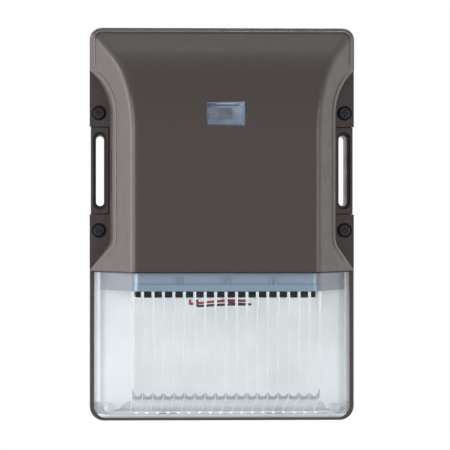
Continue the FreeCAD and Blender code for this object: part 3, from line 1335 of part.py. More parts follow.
def box_cuts(rim):
    """Holes and grooves in the back box."""
    tools = wall_holes()
    tools.append(rod(0, ENTRY_Z, ENTRY_R, -PAST, BOX_BACK + PAST))
    tools.append(wall_seal_ring(SEAL_FIT, -PAST))
    tools.append(seal_ring(SEAL_FIT, rim - SEAL_DEEP, rim + PAST))
    tools.append(rod(BOX_GROUND_X, BOX_GROUND_Z, M3_BORE_R,
                     BOX_GROUND_SEAT - M3_LONG - BOX_GROUND_END_ROOM, BOX_GROUND_SEAT + PAST))
    thread_end = SEAT_DEPTH + WASHER_THICK - SCREW_LONG - SCREW_END_ROOM
    for x, z in cover_screw_places():
        tools.append(rod(x, z, SCREW_R + THREAD_FIT, thread_end, EAR_DEPTH + PAST))
    for side in SIDES:
        tools.append(pill(side * SLOT_X, SLOT_Z, SLOT_WIDE, SLOT_LONG, -PAST, PAD_DEPTH + PAST))
        tools.append(pill(side * SLOT_X, SLOT_Z, SLOT_RING_WIDE, SLOT_RING_LONG,
                          PAD_DEPTH - SLOT_RING_DEEP, PAD_DEPTH + PAST))
    bore = Part.makeCylinder(CONDUIT_R, CONDUIT_BOSS_LONG + 2 * PAST, V(0, 0, -CONDUIT_BOSS_LONG - PAST))
    tools += [placed(bore, point, axis) for point, axis in conduit_places().values()]
    return tools


def back_box():
    """Cast box that is fixed to the wall and holds the cover."""
    rim = BOX_DEPTH - BOX_RIM_GAP
    shell = box_plate(0, 0, rim)
    hollow = box_plate(BOX_WALL, BOX_BACK, rim + PAST)
    hollow = cut(hollow, *ear_rooms(BOX_HALF - EAR_BLOCK_WIDE, EAR_BLOCK_LOW, EAR_BLOCK_HIGH,
                                    0, rim + 2 * PAST))
    boss = Part.makeCylinder(CONDUIT_R + CONDUIT_BOSS_WALL, CONDUIT_BOSS_LONG - BOX_WALL / 2,
                             V(0, 0, -CONDUIT_BOSS_LONG))
    bosses = [placed(boss, point, axis).common(shell) for point, axis in conduit_places().values()]
    bosses.append(rod(BOX_GROUND_X, BOX_GROUND_Z, BOSS_R, BOX_BACK / 2, BOX_GROUND_SEAT))
    body = join(cut(shell, hollow), *bosses, *box_pads())
    return cut(body, *box_cuts(rim))


def wall_seal_ring(fit, d0):
    outer = box_plate(WALL_SEAL_IN - fit, d0, WALL_SEAL_THICK)
    inner = box_plate(WALL_SEAL_IN + WALL_SEAL_WIDE + fit, d0 - PAST, WALL_SEAL_THICK + PAST)
    return cut(outer, inner)


def wall_gasket():
    """Foam ring let into the back, flush with the wall."""
    return wall_seal_ring(0, 0)


def wire_grommet():
    """Rubber bush in the rear wire entry."""
    neck = rod(0, ENTRY_Z, ENTRY_R, 0, BOX_BACK)
    front = BOX_BACK + GROMMET_LIP_THICK
    lip = rod(0, ENTRY_Z, ENTRY_R + GROMMET_LIP, BOX_BACK, front)
    return cut(join(neck, lip), rod(0, ENTRY_Z, GROMMET_BORE_R, -PAST, front + PAST))


def conduit_plug(name):
    """Screwed plug with a six-sided socket, just below the box's skin."""
    point, axis = conduit_places()[name]
    length = CONDUIT_BOSS_LONG - PLUG_RECESS
    plug = Part.makeCylinder(CONDUIT_R - PLUG_FIT, length, V(0, 0, -CONDUIT_BOSS_LONG))
    sixth = math.pi / 3
    floor = -PLUG_RECESS - PLUG_SOCKET_DEEP
    corners = [V(PLUG_SOCKET_R * math.cos(n * sixth), PLUG_SOCKET_R * math.sin(n * sixth), floor)
               for n in range(6)]
    socket = closed_face(corners[0], [(corner,) for corner in corners[1:]])
    return placed(plug.cut(socket.extrude(V(0, 0, PLUG_SOCKET_DEEP + PAST))), point, axis)


def box_ground_screw():
    return m3_screw(at(BOX_GROUND_X, BOX_GROUND_SEAT, BOX_GROUND_Z), V(0, -1, 0))


# ---------------------------------------------------------------------- cover screws
def screw_ring(x, z):
    """Nylon sealing washer under a cover screw's head."""
    washer = rod(x, z, SCREW_HEAD_R + WASHER_ROOM, SEAT_DEPTH, SEAT_DEPTH + WASHER_THICK)
    return washer.cut(rod(x, z, SCREW_R + THREAD_FIT, SEAT_DEPTH - PAST, EAR_DEPTH))


def cover_screw(x, z):
    screw = pan_screw(SCREW_R, SCREW_LONG, SCREW_HEAD_R, SCREW_HEAD_H)
    return placed(screw, at(x, SEAT_DEPTH + WASHER_THICK, z), V(0, -1, 0))


# ------------------------------------------------------------------------- assembly
def all_nodes():
    """Every named piece of the light."""
    nodes = {
        "back_box": back_box(),
        "cover_gasket": cover_gasket(),
        "wall_gasket": wall_gasket(),
        "wire_grommet": wire_grommet(),
        "box_ground_screw": box_ground_screw(),
        "front_housing": front_housing(),
        "lens": lens(),
        "lens_gasket": lens_gasket(),
        "lens_top_seal": lens_top_seal(),
        "reflector": reflector(),
        "reflector_screws": reflector_screws(),
        "led_heatsink": led_heatsink(),
        "heatsink_screws": heatsink_screws(),
        "thermal_pad": thermal_pad(),
        "led_board": led_board(),
        "led_chips": led_chips(),
        "led_board_screws": led_board_screws(),
        "led_connector": led_connector(),
        "led_frame": led_frame(),
        "led_lead_red": led_lead("led_lead_red", -1),
        "led_lead_black": led_lead("led_lead_black", 1),
        "shelf_grommet": shelf_grommet(),
        "driver_case": driver_case(),
        "driver_lid": driver_lid(),
        "driver_board": driver_board(),
        "driver_transformer": driver_transformer(),
        "driver_capacitors": driver_capacitors(),
        "driver_inductor": driver_inductor(),
        "driver_screws": driver_screws(),
        "driver_bushings": driver_bushings(),
        "supply_lead_black": supply_lead("supply_lead_black", -1, splice_places()[0]),
        "supply_lead_white": supply_lead("supply_lead_white", 1, splice_places()[1]),
        "ground_lead_green": ground_lead(),
        "splice_caps": splice_caps(),
        "housing_ground_screw": housing_ground_screw(),
        "photocell_window": photocell_window(),
        "window_seal": window_seal(),
        "photocell_holder": photocell_holder(),
        "photocell_board": photocell_board(),
        "photocell_sensor": photocell_sensor(),
        "photocell_screws": photocell_screws(),
        "photocell_leads": photocell_leads(),
    }
    for name in conduit_places():
        nodes["conduit_plug_" + name] = conduit_plug(name)
    for number, (x, z) in enumerate(cover_screw_places(), 1):
        nodes["screw_ring_%d" % number] = screw_ring(x, z)
        nodes["cover_screw_%d" % number] = cover_screw(x, z)
    return nodes


os.makedirs("parts", exist_ok=True)
for node_name, node_shape in all_nodes().items():
    print(node_name, len(node_shape.Solids), node_shape.isValid(), round(node_shape.Volume, 1))
    node_shape.exportStep("parts/" + node_name + ".step")
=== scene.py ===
import bpy
import json
import math
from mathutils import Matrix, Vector
from mathutils.bvhtree import BVHTree


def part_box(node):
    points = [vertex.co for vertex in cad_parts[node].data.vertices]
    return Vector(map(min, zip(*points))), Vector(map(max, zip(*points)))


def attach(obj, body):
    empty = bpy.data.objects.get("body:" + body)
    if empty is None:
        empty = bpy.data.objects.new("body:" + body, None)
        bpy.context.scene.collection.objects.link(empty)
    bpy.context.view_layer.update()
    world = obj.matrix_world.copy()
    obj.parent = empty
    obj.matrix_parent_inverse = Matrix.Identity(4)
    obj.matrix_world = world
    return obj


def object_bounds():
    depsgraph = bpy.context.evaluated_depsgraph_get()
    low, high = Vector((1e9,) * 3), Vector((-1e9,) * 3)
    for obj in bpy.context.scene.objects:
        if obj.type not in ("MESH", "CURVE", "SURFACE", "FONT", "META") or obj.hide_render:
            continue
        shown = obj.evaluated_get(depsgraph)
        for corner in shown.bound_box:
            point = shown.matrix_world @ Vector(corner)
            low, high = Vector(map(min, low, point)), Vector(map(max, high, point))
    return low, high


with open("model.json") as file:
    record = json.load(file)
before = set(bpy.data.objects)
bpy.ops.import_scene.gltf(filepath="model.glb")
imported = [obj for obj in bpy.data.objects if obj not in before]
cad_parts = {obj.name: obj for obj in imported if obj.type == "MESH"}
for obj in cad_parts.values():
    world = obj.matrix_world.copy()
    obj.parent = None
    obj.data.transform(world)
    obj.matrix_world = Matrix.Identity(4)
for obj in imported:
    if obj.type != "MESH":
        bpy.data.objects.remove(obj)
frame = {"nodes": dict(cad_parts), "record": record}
cad_low, cad_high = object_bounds()

# The looks of a wall pack light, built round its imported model.  Metres, except where a heading
# says millimetres.  X is to the right as the light is looked at, the light faces -Y, and Z is
# up.  A depth is a distance out from the wall, so it is -Y.

MM = 0.001
SIDES = (-1, 1)

# ------------------------------------------------------------------ camera and room
CAMERA_AZIMUTH = -2.6        # degrees; the camera stands a little to the left
CAMERA_DISTANCE = 2.0
CAMERA_LENS = 246.0          # focal length in millimetres
CAMERA_AIM = Vector((0.00195, -0.034, -0.00045))
VIEW_END = 100.0
FLOOR_DROP = 0.80            # floor below the light, which hangs on a wall
FLOOR_SIZE = 20.0
FLOOR_GLOW = 0.6             # added to the floor where it is seen, and not to its light
FLOOR_CLOUDS = 300.0         # millimetres
ROOM_FILL = 0.40
PALE = (0.90, 0.90, 0.90, 1)
PALE_DIM = (0.88, 0.88, 0.88, 1)
WHITE = (1, 1, 1, 1)

LAMP_AIM = Vector((0, -0.04, 0))
# name: (place, size across, size up, watts)
LAMPS = {
    "softbox_left": ((-1.30, 0.12, 0.0), 0.9, 1.5, 20.0),
    "strip_left": ((-1.15, -0.80, -0.05), 0.3, 1.5, 12.5),
    "softbox_right": ((1.30, 0.10, 0.0), 0.7, 1.3, 2.5),
    "strip_right": ((1.15, -0.80, -0.05), 0.3, 1.3, 9.0),
    "rim_top": ((0.0, 1.35, 0.85), 1.6, 0.3, 12.0),
}


# -------------------------------------------------------------------------- finishes
# Tones are screen colours, 0 to 255; a surface clouds over from the first to the second.

# slot: tone, tone, roughness, then grain and its depth in millimetres, and specular level
PLASTICS = {
    "black_seal": ((24, 24, 24), (36, 36, 36), 0.8, 0.3, 0.03),
    "grey_foam": ((66, 66, 70), (80, 80, 84), 0.95, 0.6, 0.2),
    "black_rubber": ((22, 22, 22), (36, 36, 35), 0.7),
    "white_silicone": ((205, 208, 208), (225, 226, 224), 0.5),
    "nylon_ring": ((18, 18, 20), (28, 28, 30), 0.5),
    "grey_pad": ((150, 154, 160), (168, 170, 175), 0.8),
    "led_yellow": ((226, 205, 96), (240, 222, 125), 0.4),
    "white_plastic": ((222, 220, 212), (236, 234, 228), 0.45),
    "black_plastic": ((10, 10, 12), (20, 20, 23), 0.5, 0.5, 0.02, 0.2),
    "orange_plastic": ((214, 108, 36), (230, 124, 48), 0.45),
    "ferrite_dark": ((48, 48, 52), (68, 68, 72), 0.6),
    "capacitor_sleeve": ((22, 26, 46), (34, 40, 64), 0.3),
    "red_wire": ((138, 30, 32), (158, 40, 40), 0.4),
    "black_wire": ((24, 24, 25), (38, 38, 40), 0.4),
    "white_wire": ((222, 222, 218), (236, 236, 232), 0.4),
    "green_wire": ((26, 110, 44), (38, 130, 56), 0.4),
    "sensor_resin": ((24, 34, 28), (38, 48, 38), 0.3),
}
# slot: tone, tone, roughness
SHEETS = {
    "white_reflector": ((230, 232, 231), (238, 239, 238), 0.4),
    "white_board": ((225, 227, 226), (238, 239, 238), 0.3),
    "green_board": ((20, 92, 50), (32, 112, 62), 0.3),
}
# slot: tone, tone, roughness, and the stretch of its working marks
METALS = {
    "zinc_steel": ((170, 172, 175), (205, 206, 208), 0.3),
    "green_screw": ((30, 95, 45), (45, 120, 60), 0.35),
    "black_screw": ((38, 38, 42), (60, 60, 66), 0.3),
    "driver_steel": ((176, 178, 181), (206, 207, 209), 0.36, (1, 1, 12)),
    "copper_winding": ((168, 84, 40), (204, 112, 60), 0.35),
}

# thin clear walls
CLEAR_TINT = (0.975, 0.985, 0.99, 1)
SMOKED_TINT = (0.78, 0.82, 0.87, 1)
FROSTED_TINT = (0.96, 0.97, 0.98, 1)
SHINE_ROUGHNESS = 0.06
SHINE_FACE = 0.005           # share that mirrors the room where a wall is seen square on
SHINE_POWER = 4.0            # how late that share grows as the wall turns away
LENS_SHINE = 0.25            # share that is added where a wall is seen along its face
WINDOW_SHINE = 0.9
FROSTED_SHINE = 0.2
LENS_HAZE = (0.005, 0.12)    # painted milkiness of the lens, square on and turned away
LENS_TURN = (0.10, 0.42)     # turn over which it grows
SIDE_HAZE = 0.42             # painted milky side edges of the lens
RIM_HAZE = 0.8               # its painted milky lower edge
WINDOW_HAZE = (0.15, 0.23)
FOOT_HAZE = (0.7, 0.92)      # the flutes' feet, in front and at the back


# ------------------------------------------------------ rolled edges on the hood, millimetres
EDGE_HALF = 1.5              # an edge's half width, height, and how deep its feet are sunk
EDGE_PROUD = 0.55
EDGE_SUNK = 0.05
EDGE_STEPS = 8
EDGE_TAPER = 3               # points over which an edge thins out
RAY_START = -1.0             # metres; rays that find the hood's face start here, in front of it
RIM_IN = 3.2                 # rim's edge, in from the outline
RIM_CORNER = 4.8             # its radius at the corners
RIM_LOW = 100.5              # height of its two lower ends
RIM_STEPS = (14, 8, 12)      # up a side, round a corner, over half of the top
POCKET_IN = 1.6              # pocket's edge, in from the pocket
POCKET_WALL = 72.8           # pocket's upright wall, from the middle of the light
POCKET_ARC = 40.0            # radius of the arc above that wall
POCKET_TURN = 46.0           # degrees of the arc that the hood's side reaches
POCKET_TOP = 70.0            # the wall's upper and lower end
POCKET_LOW = -8.0
POCKET_BLEND = 12.0          # radius between the wall and the sloping foot below it
POCKET_FALL = 53.2           # degrees that the foot falls below level
POCKET_FOOT = (1.0, 9.5)     # from where to where it runs, sideways from the blend's end
POCKET_STEPS = (14, 20, 5, 8)  # round the arc, down the wall, round the blend, down the foot
DRAFT = 1.65                 # how far in the pocket's wall leans where it meets the hood
DRAFT_FALL = 0.105           # how much less that is for each millimetre further out


# ---------------------------------------------------------- pieces in the lens, millimetres
lens_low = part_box("lens")[0]
FLUTES = 18
FLUTE_PITCH = 6.6
LENS_WALL = 2.2
FLOOR_RISE = 13.5            # the lens floor rises towards the front
FLOOR_RUN = 63.0
FLOOR_SLOPE = FLOOR_RISE / FLOOR_RUN
FLOOR_BACK = 33.0            # depth of the floor's back end
FLANGE_BELOW = 1.9           # lens flange's lower edge below that end
LENS_INNER = -lens_low.y / MM - LENS_WALL
LENS_FLOOR = lens_low.z / MM + FLANGE_BELOW + FLOOR_RISE + LENS_WALL

# painted highlight between two flutes, in place of the light the flutes refract: height, radius
LINE_SHAPE = ((-104.0, 0.06), (-94.0, 0.10), (-88.0, 0.30), (-60.0, 0.36), (-53.5, 0.42),
              (-50.5, 0.85), (-42.6, 0.9))
LINE_STEPS = 7
LINE_FLAT = 0.6              # its depth, of its radius
LINE_CLEAR = 0.05            # gap to the lens's inner face

FOOT_GAP = 0.35              # between two flutes' feet
FOOT_HALF = (FLUTE_PITCH - FOOT_GAP) / 2
FOOT_STEPS = 10
FOOT_TOP_CLEAR = 0.45
FOOT_LIFT = 0.3
# rows of a foot's points, from the front wall to the back
FOOT_DEPTHS = (LENS_INNER - 0.7, LENS_INNER - 2.5, 82.0, 70.0, 56.0, 44.0, FLOOR_BACK)
FOOT_DARK = 90.0             # depth at which the feet are darkest, and where they are pale
FOOT_PALE = 74.0
CUSP_TALL = 2.4              # points that rise between the feet, and at both ends of their row
CUSP_END_TALL = 5.0
CUSP_POWER = 2.2
ACROSS_FLUTE = [2 * step / FOOT_STEPS - 1 for step in range(FOOT_STEPS + 1)]

CRESCENT_DEEP = 10.0         # painted shade: crescent under each foot, front to back: middle and edge
CRESCENT_EDGE = 1.5
CRESCENT_CLEAR = 0.8
CRESCENT_LIFT = 0.1
CRESCENT_ROWS = 4

# outer edge of the grey corners beside the feet, a painted reflection of the dark rim: from the
# middle of the light, depth
CORNER_EDGE = ((59.6, 78.0), (62.4, 72.0), (65.3, 58.0), (66.6, 46.0), (69.5, 41.5), (71.5, 34.0))
CORNER_EDGE_STEPS = 6
CORNER_STEPS = 4
CORNER_LIFT = 0.35

LEAF_OUT = 82.3              # grey leaf in each lower corner, a painted reflection of the dark rim: where its outer end is, and its
LEAF_HIGH = -117.6           # height, and the same of its inner end
LEAF_IN = 73.6
LEAF_LOW = -124.3
LEAF_SWELL = 0.9             # bulge in its middle: sideways, up and down
LEAF_SWELL_UP = 1.1
LEAF_SWELL_DOWN = 1.3
LEAF_LEAN = 0.6
LEAF_STEPS = 12

SIDE_HAZE_IN = 78.2          # where the lens's painted milky side edges start and are full
SIDE_HAZE_OUT = 79.8
SIDE_HAZE_LOW = -116.0       # and where they start and are full above the lower corners
SIDE_HAZE_HIGH = -112.0
RIM_HAZE_LOW = -123.2        # where the painted milky lower edge is full, and where it ends
RIM_HAZE_HIGH = -122.2

DOME_RINGS = 5
DOME_TIP = 0.02              # keeps a dome's last ring open
BEAD_PITCH = 6.82            # painted glints: bright beads under the lens floor
BEAD_SHIFT = 2.1
BEAD_DEPTH = 46.0
BEAD_HALF = (1.25, 1.6, 0.9)  # half its width, half its depth, and how far it hangs down
BEAD_AROUND = 12
POST_X, POST_DEPTH, POST_Z = 73.3, 39.05, -118.9  # front end of the lens's screw posts
POST_CAP_RADIUS = 3.0
POST_CAP_TALL = 0.8
POST_AROUND = 24

LIP_THICK = 1.0              # lip under the LED frame
LIP_BULGE = 0.5              # how far it swells forward, of its thickness
LIP_STEPS = 7
SINK_FRONT = 57.0            # half width of the heat sink's front, and where its sides are dark, in painted shade that holds back the lamps' light on them
SINK_SHADED_SIDE = 58.5

TRAY_IN = 2.0                # photocell tray, in from the window's flange
TRAY_BEHIND = 1.2            # tray's floor behind the sensor's face
TRAY_RIM = 2.0
TRAY_HOLE_DEEP = 0.6
TRAY_BLOCK_TALL = 0.6
SENSOR_ROOM = 0.2
# its dark groove and pegs, in painted shade, and its pale edges, painted highlights: left, right,
# low, high
TRAY_DARK = ((-9.8, 7.9, 75.0, 75.8), (-11.1, -9.8, 73.8, 76.4),
             (-11.0, -10.0, 68.5, 69.5), (-11.0, -10.0, 66.6, 67.6))
TRAY_PALE = ((9.6, 11.0, 63.6, 76.4), (-11.0, 9.4, 63.4, 64.5), (-6.0, 8.0, 76.1, 76.8))


# ------------------------------------------------------------------- material builders
def math_node(tree, operation, *values):
    """Result of a Math node; each value is a float or another node's output."""
    node = tree.nodes.new("ShaderNodeMath")
    node.operation = operation
    for value, socket in zip(values, node.inputs):
        if isinstance(value, float):
            socket.default_value = value
        else:
            tree.links.new(value, socket)
    return node.outputs[0]


def seen_rays(tree):
    """1 for camera, glossy and transmission rays, otherwise 0."""
    path = tree.nodes.new("ShaderNodeLightPath")
    total = path.outputs["Is Camera Ray"]
    for kind in ("Is Glossy Ray", "Is Transmission Ray"):
        total = math_node(tree, "MAXIMUM", total, path.outputs[kind])
    return total


def rgb(red, green, blue):
    """Screen colour, 0 to 255, as the linear colour that a shader takes."""
    def linear(level):
        level /= 255
        return level / 12.92 if level < 0.04045 else ((level + 0.055) / 1.055) ** 2.4
    return (linear(red), linear(green), linear(blue), 1)


class Shade:
    """A material's node tree with short calls for the nodes used here."""

    def __init__(self, name):
        self.material = bpy.data.materials.new(name)
        self.material.use_nodes = True
        self.tree = self.material.node_tree
        self.tree.nodes.clear()
        self.output = self.tree.nodes.new("ShaderNodeOutputMaterial")
        self.shader = self.tree.nodes.new("ShaderNodeBsdfPrincipled")
        self.link(self.shader.outputs["BSDF"], self.output.inputs["Surface"])
        self.place = self.tree.nodes.new("ShaderNodeTexCoord").outputs["Object"]

    def link(self, start, end):
        self.tree.links.new(start, end)

    def set(self, **values):
        """Set the shader's own sockets."""
        for name, value in values.items():
            self.shader.inputs[name.replace("_", " ")].default_value = value
        return self

    def noise(self, size_mm, detail=2.0, roughness=0.5, stretch=(1, 1, 1)):
        """Noise whose grain is about size_mm across."""
        mapping = self.tree.nodes.new("ShaderNodeMapping")
        mapping.inputs["Scale"].default_value = stretch
        self.link(self.place, mapping.inputs["Vector"])
        node = self.tree.nodes.new("ShaderNodeTexNoise")
        node.inputs["Scale"].default_value = 1 / (size_mm * MM)
        node.inputs["Detail"].default_value = detail
        node.inputs["Roughness"].default_value = roughness
        self.link(mapping.outputs["Vector"], node.inputs["Vector"])
        return node.outputs["Fac"]

    def axis(self, name, start_mm, end_mm):
        """0 to 1 as the surface goes from start to end along an axis of the light."""
        split = self.tree.nodes.new("ShaderNodeSeparateXYZ")
        self.link(self.place, split.inputs["Vector"])
        node = self.tree.nodes.new("ShaderNodeMapRange")
        node.inputs["From Min"].default_value = start_mm * MM
        node.inputs["From Max"].default_value = end_mm * MM
        self.link(split.outputs[name], node.inputs["Value"])
        return node.outputs["Result"]

    def flat(self):
        """The face's own normal, without its bumps."""
        return self.tree.nodes.new("ShaderNodeNewGeometry").outputs["True Normal"]

    def turned(self):
        """0 where the face is seen square on, 1 where it is seen along itself."""
        layer = self.tree.nodes.new("ShaderNodeLayerWeight")
        self.link(self.flat(), layer.inputs["Normal"])
        return layer.outputs["Facing"]

    def most(self, first, second):
        return math_node(self.tree, "MAXIMUM", first, second)

    def least(self, first, second):
        return math_node(self.tree, "MINIMUM", first, second)

    def ramp(self, factor, low, high, start=0.35, end=0.65):
        """Colours or grey levels from low to high as factor goes from start to end."""
        node = self.tree.nodes.new("ShaderNodeValToRGB")
        for stop, level, place in zip(node.color_ramp.elements, (low, high), (start, end)):
            stop.position = place
            stop.color = level if isinstance(level, tuple) else (level, level, level, 1)
        self.link(factor, node.inputs["Fac"])
        return node.outputs["Color"]

    def colour(self, factor, low, high, start=0.35, end=0.65):
        """Colour the surface from one tone to another by factor."""
        shades = self.ramp(factor, rgb(*low), rgb(*high), start, end)
        self.link(shades, self.shader.inputs["Base Color"])
        return self

    def rough(self, factor, low, high):
        self.link(self.ramp(factor, low, high), self.shader.inputs["Roughness"])
        return self

    def mix(self, factor, first, second):
        """Shader that goes from first to second as factor goes from 0 to 1."""
        node = self.tree.nodes.new("ShaderNodeMixShader")
        self.link(factor, node.inputs["Fac"])
        self.link(first, node.inputs[1])
        self.link(second, node.inputs[2])
        return node.outputs["Shader"]

    def bump(self, height, depth_mm, strength=1.0):
        """Raise the surface by height; several calls add up."""
        node = self.tree.nodes.new("ShaderNodeBump")
        node.inputs["Distance"].default_value = depth_mm * MM
        node.inputs["Strength"].default_value = strength
        self.link(height, node.inputs["Height"])
        previous = self.shader.inputs["Normal"].links
        if previous:
            self.link(previous[0].from_socket, node.inputs["Normal"])
        self.link(node.outputs["Normal"], self.shader.inputs["Normal"])
        return self


# --------------------------------------------------------------------------- materials
def bronze_coat():
    """Dark bronze powder coat: fine orange peel, small tone changes, satin."""
    shade = Shade("bronze_coat").set(Metallic=0.15, Specular_IOR_Level=0.4)
    shade.colour(shade.noise(0.45, 3.0, 0.6), (56, 49, 48), (72, 63, 62))
    shade.rough(shade.noise(9.0, 3.0), 0.33, 0.41)
    shade.bump(shade.noise(1.1), 0.05, 0.55)
    shade.bump(shade.noise(0.35, 1.0), 0.02, 0.5)
    return shade.material


def plastic(name, low, high, roughness, grain_mm=0.5, depth_mm=0.02, specular=0.5):
    """Moulded plastic or rubber: two near tones and a fine spark texture."""
    shade = Shade(name).set(Specular_IOR_Level=specular)
    shade.colour(shade.noise(6.0, 4.0), low, high)
    shade.rough(shade.noise(2.0, 3.0), roughness - 0.06, roughness + 0.06)
    shade.bump(shade.noise(grain_mm), depth_mm, 0.5)
    return shade.material


def sheet(name, low, high, roughness):
    """Smooth coated sheet with a faint roller texture."""
    shade = Shade(name)
    shade.colour(shade.noise(25.0), low, high)
    shade.rough(shade.noise(3.0), roughness - 0.05, roughness + 0.05)
    shade.bump(shade.noise(0.8), 0.02, 0.3)
    return shade.material


def metal(name, low, high, roughness, stretch=(1, 1, 1)):
    """Bare or plated metal with fine working marks."""
    shade = Shade(name).set(Metallic=1.0)
    marks = shade.noise(0.6, 4.0, 0.6, stretch)
    shade.colour(marks, low, high)
    shade.rough(marks, roughness - 0.08, roughness + 0.08)
    shade.bump(marks, 0.01, 0.4)
    return shade.material


def sink_metal():
    """Heat sink: dull blue-grey metal, its sloping sides painted darker than the front as painted
    shade against the lamps' light.
    """
    shade = Shade("bare_aluminium").set(Metallic=0.4, Roughness=0.5)
    front = shade.least(shade.axis("X", -SINK_SHADED_SIDE, -SINK_FRONT),
                        shade.axis("X", SINK_SHADED_SIDE, SINK_FRONT))
    # painted shade: the sloping sides get the darker tone
    shade.colour(front, (52, 63, 78), (132, 148, 164), 0.0, 1.0)
    shade.bump(shade.noise(0.6, 4.0, 0.6), 0.01, 0.4)
    return shade.material


def see_through(shade, tint, haze, shine):
    """Turn a shade into a thin clear wall: its own plastic by haze, glossy by shine."""
    clear = shade.tree.nodes.new("ShaderNodeBsdfTransparent")
    clear.inputs["Color"].default_value = tint
    glossy = shade.tree.nodes.new("ShaderNodeBsdfGlossy")
    glossy.inputs["Roughness"].default_value = SHINE_ROUGHNESS
    shade.link(shade.flat(), glossy.inputs["Normal"])
    late = math_node(shade.tree, "POWER", shade.turned(), SHINE_POWER)
    share = math_node(shade.tree, "MULTIPLY_ADD", late, shine, SHINE_FACE)
    body = shade.mix(haze, clear.outputs["BSDF"], shade.shader.outputs["BSDF"])
    whole = shade.mix(share, body, glossy.outputs["BSDF"])
    path = shade.tree.nodes.new("ShaderNodeLightPath")
    lit = shade.mix(path.outputs["Is Shadow Ray"], whole, clear.outputs["BSDF"])
    shade.link(lit, shade.output.inputs["Surface"])
    return shade.material


def clear_lens():
    """Clear moulding with painted light: milky where its wall turns away and along its edges, in
    place of the light and the pale and dark parts that the clear walls refract.
    """
    shade = Shade("clear_lens").set(Base_Color=rgb(202, 207, 213), Roughness=0.3)
    shade.bump(shade.noise(14.0, 1.0), 0.02, 0.15)
    # painted light: milky lower and side edges, and milkiness where the wall turns away, in place
    # of what the clear walls refract
    painted_edge_haze = shade.ramp(shade.axis("Z", RIM_HAZE_LOW, RIM_HAZE_HIGH), RIM_HAZE, 0.0, 0.0, 1.0)
    above = shade.axis("Z", SIDE_HAZE_LOW, SIDE_HAZE_HIGH)
    for side in SIDES:
        out = shade.axis("X", side * SIDE_HAZE_IN, side * SIDE_HAZE_OUT)
        edge = shade.ramp(out, 0.0, SIDE_HAZE, 0.0, 1.0)
        painted_edge_haze = shade.most(painted_edge_haze, shade.least(edge, above))
    painted_turn_haze = shade.ramp(shade.turned(), *LENS_HAZE, *LENS_TURN)
    return see_through(shade, CLEAR_TINT, shade.most(painted_turn_haze, painted_edge_haze), LENS_SHINE)


def grey_window():
    """Smoked window: blue-grey haze with slight clouding."""
    shade = Shade("grey_window").set(Roughness=0.22)
    shade.colour(shade.noise(7.0, 3.0), (162, 169, 182), (190, 199, 210))
    haze = shade.ramp(shade.noise(9.0), *WINDOW_HAZE)
    return see_through(shade, SMOKED_TINT, haze, WINDOW_SHINE)


def frosted(name, low, high, haze):
    """Frosted clear plastic in a grey tone."""
    shade = Shade(name).set(Roughness=0.35)
    shade.colour(shade.noise(3.0), low, high)
    clouds = shade.ramp(shade.noise(12.0), haze - 0.04, haze + 0.04)
    return see_through(shade, FROSTED_TINT, clouds, FROSTED_SHINE)


def frosted_foot():
    """Frosted foot of the lens, paler and milkier towards the back."""
    shade = Shade("flute_foot").set(Roughness=0.35)
    back = shade.axis("Y", -FOOT_DARK, -FOOT_PALE)
    shade.colour(back, (140, 146, 156), (170, 176, 185), 0.1, 0.9)
    haze = shade.ramp(back, *FOOT_HAZE, 0.1, 0.9)
    return see_through(shade, FROSTED_TINT, haze, FROSTED_SHINE)


def make_materials():
    """One material for each slot that the record names."""
    materials = {
        "bronze_coat": bronze_coat(),
        "bronze_plug": bronze_coat(),
        "bare_aluminium": sink_metal(),
        "clear_lens": clear_lens(),
        "grey_window": grey_window(),
    }
    for build, finishes in ((plastic, PLASTICS), (sheet, SHEETS), (metal, METALS)):
        for slot, values in finishes.items():
            materials[slot] = build(slot, *values)
    return materials


def dress_nodes(materials):
    """Give every CAD node the material of its slot."""
    for part in frame["record"]["subparts"]:
        node = frame["nodes"][part["node"]]
        node.data.materials.clear()
        node.data.materials.append(materials[part["material_slot"]])


# ------------------------------------------------------------------------ mesh helpers
def add_object(name, data):
    thing = bpy.data.objects.new(name, data)
    bpy.context.scene.collection.objects.link(thing)
    return thing


def add_piece(name, points, faces, material, smooth=True):
    """Mesh piece from points in millimetres (x, depth, z), riding on the cover."""
    mesh = bpy.data.meshes.new(name)
    mesh.from_pydata([(x * MM, -depth * MM, z * MM) for x, depth, z in points], [], faces)
    mesh.validate()
    mesh.materials.append(material)
    for face in mesh.polygons:
        face.use_smooth = smooth
    piece = add_object(name, mesh)
    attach(piece, "front_cover")


def grid_faces(rows, columns, start=0):
    """Quads over a grid of points kept row by row."""
    return [(start + r * columns + c, start + r * columns + c + 1,
             start + (r + 1) * columns + c + 1, start + (r + 1) * columns + c)
            for r in range(rows - 1) for c in range(columns - 1)]


def ring_faces(rings, around, start=0, closed=True):
    """Quads between rings of points, and a last face that closes the top ring."""
    faces = []
    for ring in range(rings - 1):
        low = start + ring * around
        for step in range(around):
            a, b = low + step, low + (step + 1) % around
            faces.append((a, b, b + around, a + around))
    if closed:
        faces.append(tuple(start + (rings - 1) * around + step for step in range(around)))
    return faces


def dome_angles(around):
    """Angles over a dome, ring by ring: up from its edge, and round it."""
    return [(math.pi / 2 * ring / (DOME_RINGS - 1), 2 * math.pi * step / around)
            for ring in range(DOME_RINGS) for step in range(around)]


def half_turn(steps):
    """Angles from 0 to half a turn."""
    return [math.pi * step / steps for step in range(steps + 1)]


def stops(start, end, count):
    """Evenly spaced values from start up to but not including end."""
    return [start + (end - start) * number / count for number in range(count)]


def in_row(count, pitch):
    """Middles of count things, a pitch apart, about the middle of the light."""
    return [(number - (count - 1) / 2) * pitch for number in range(count)]


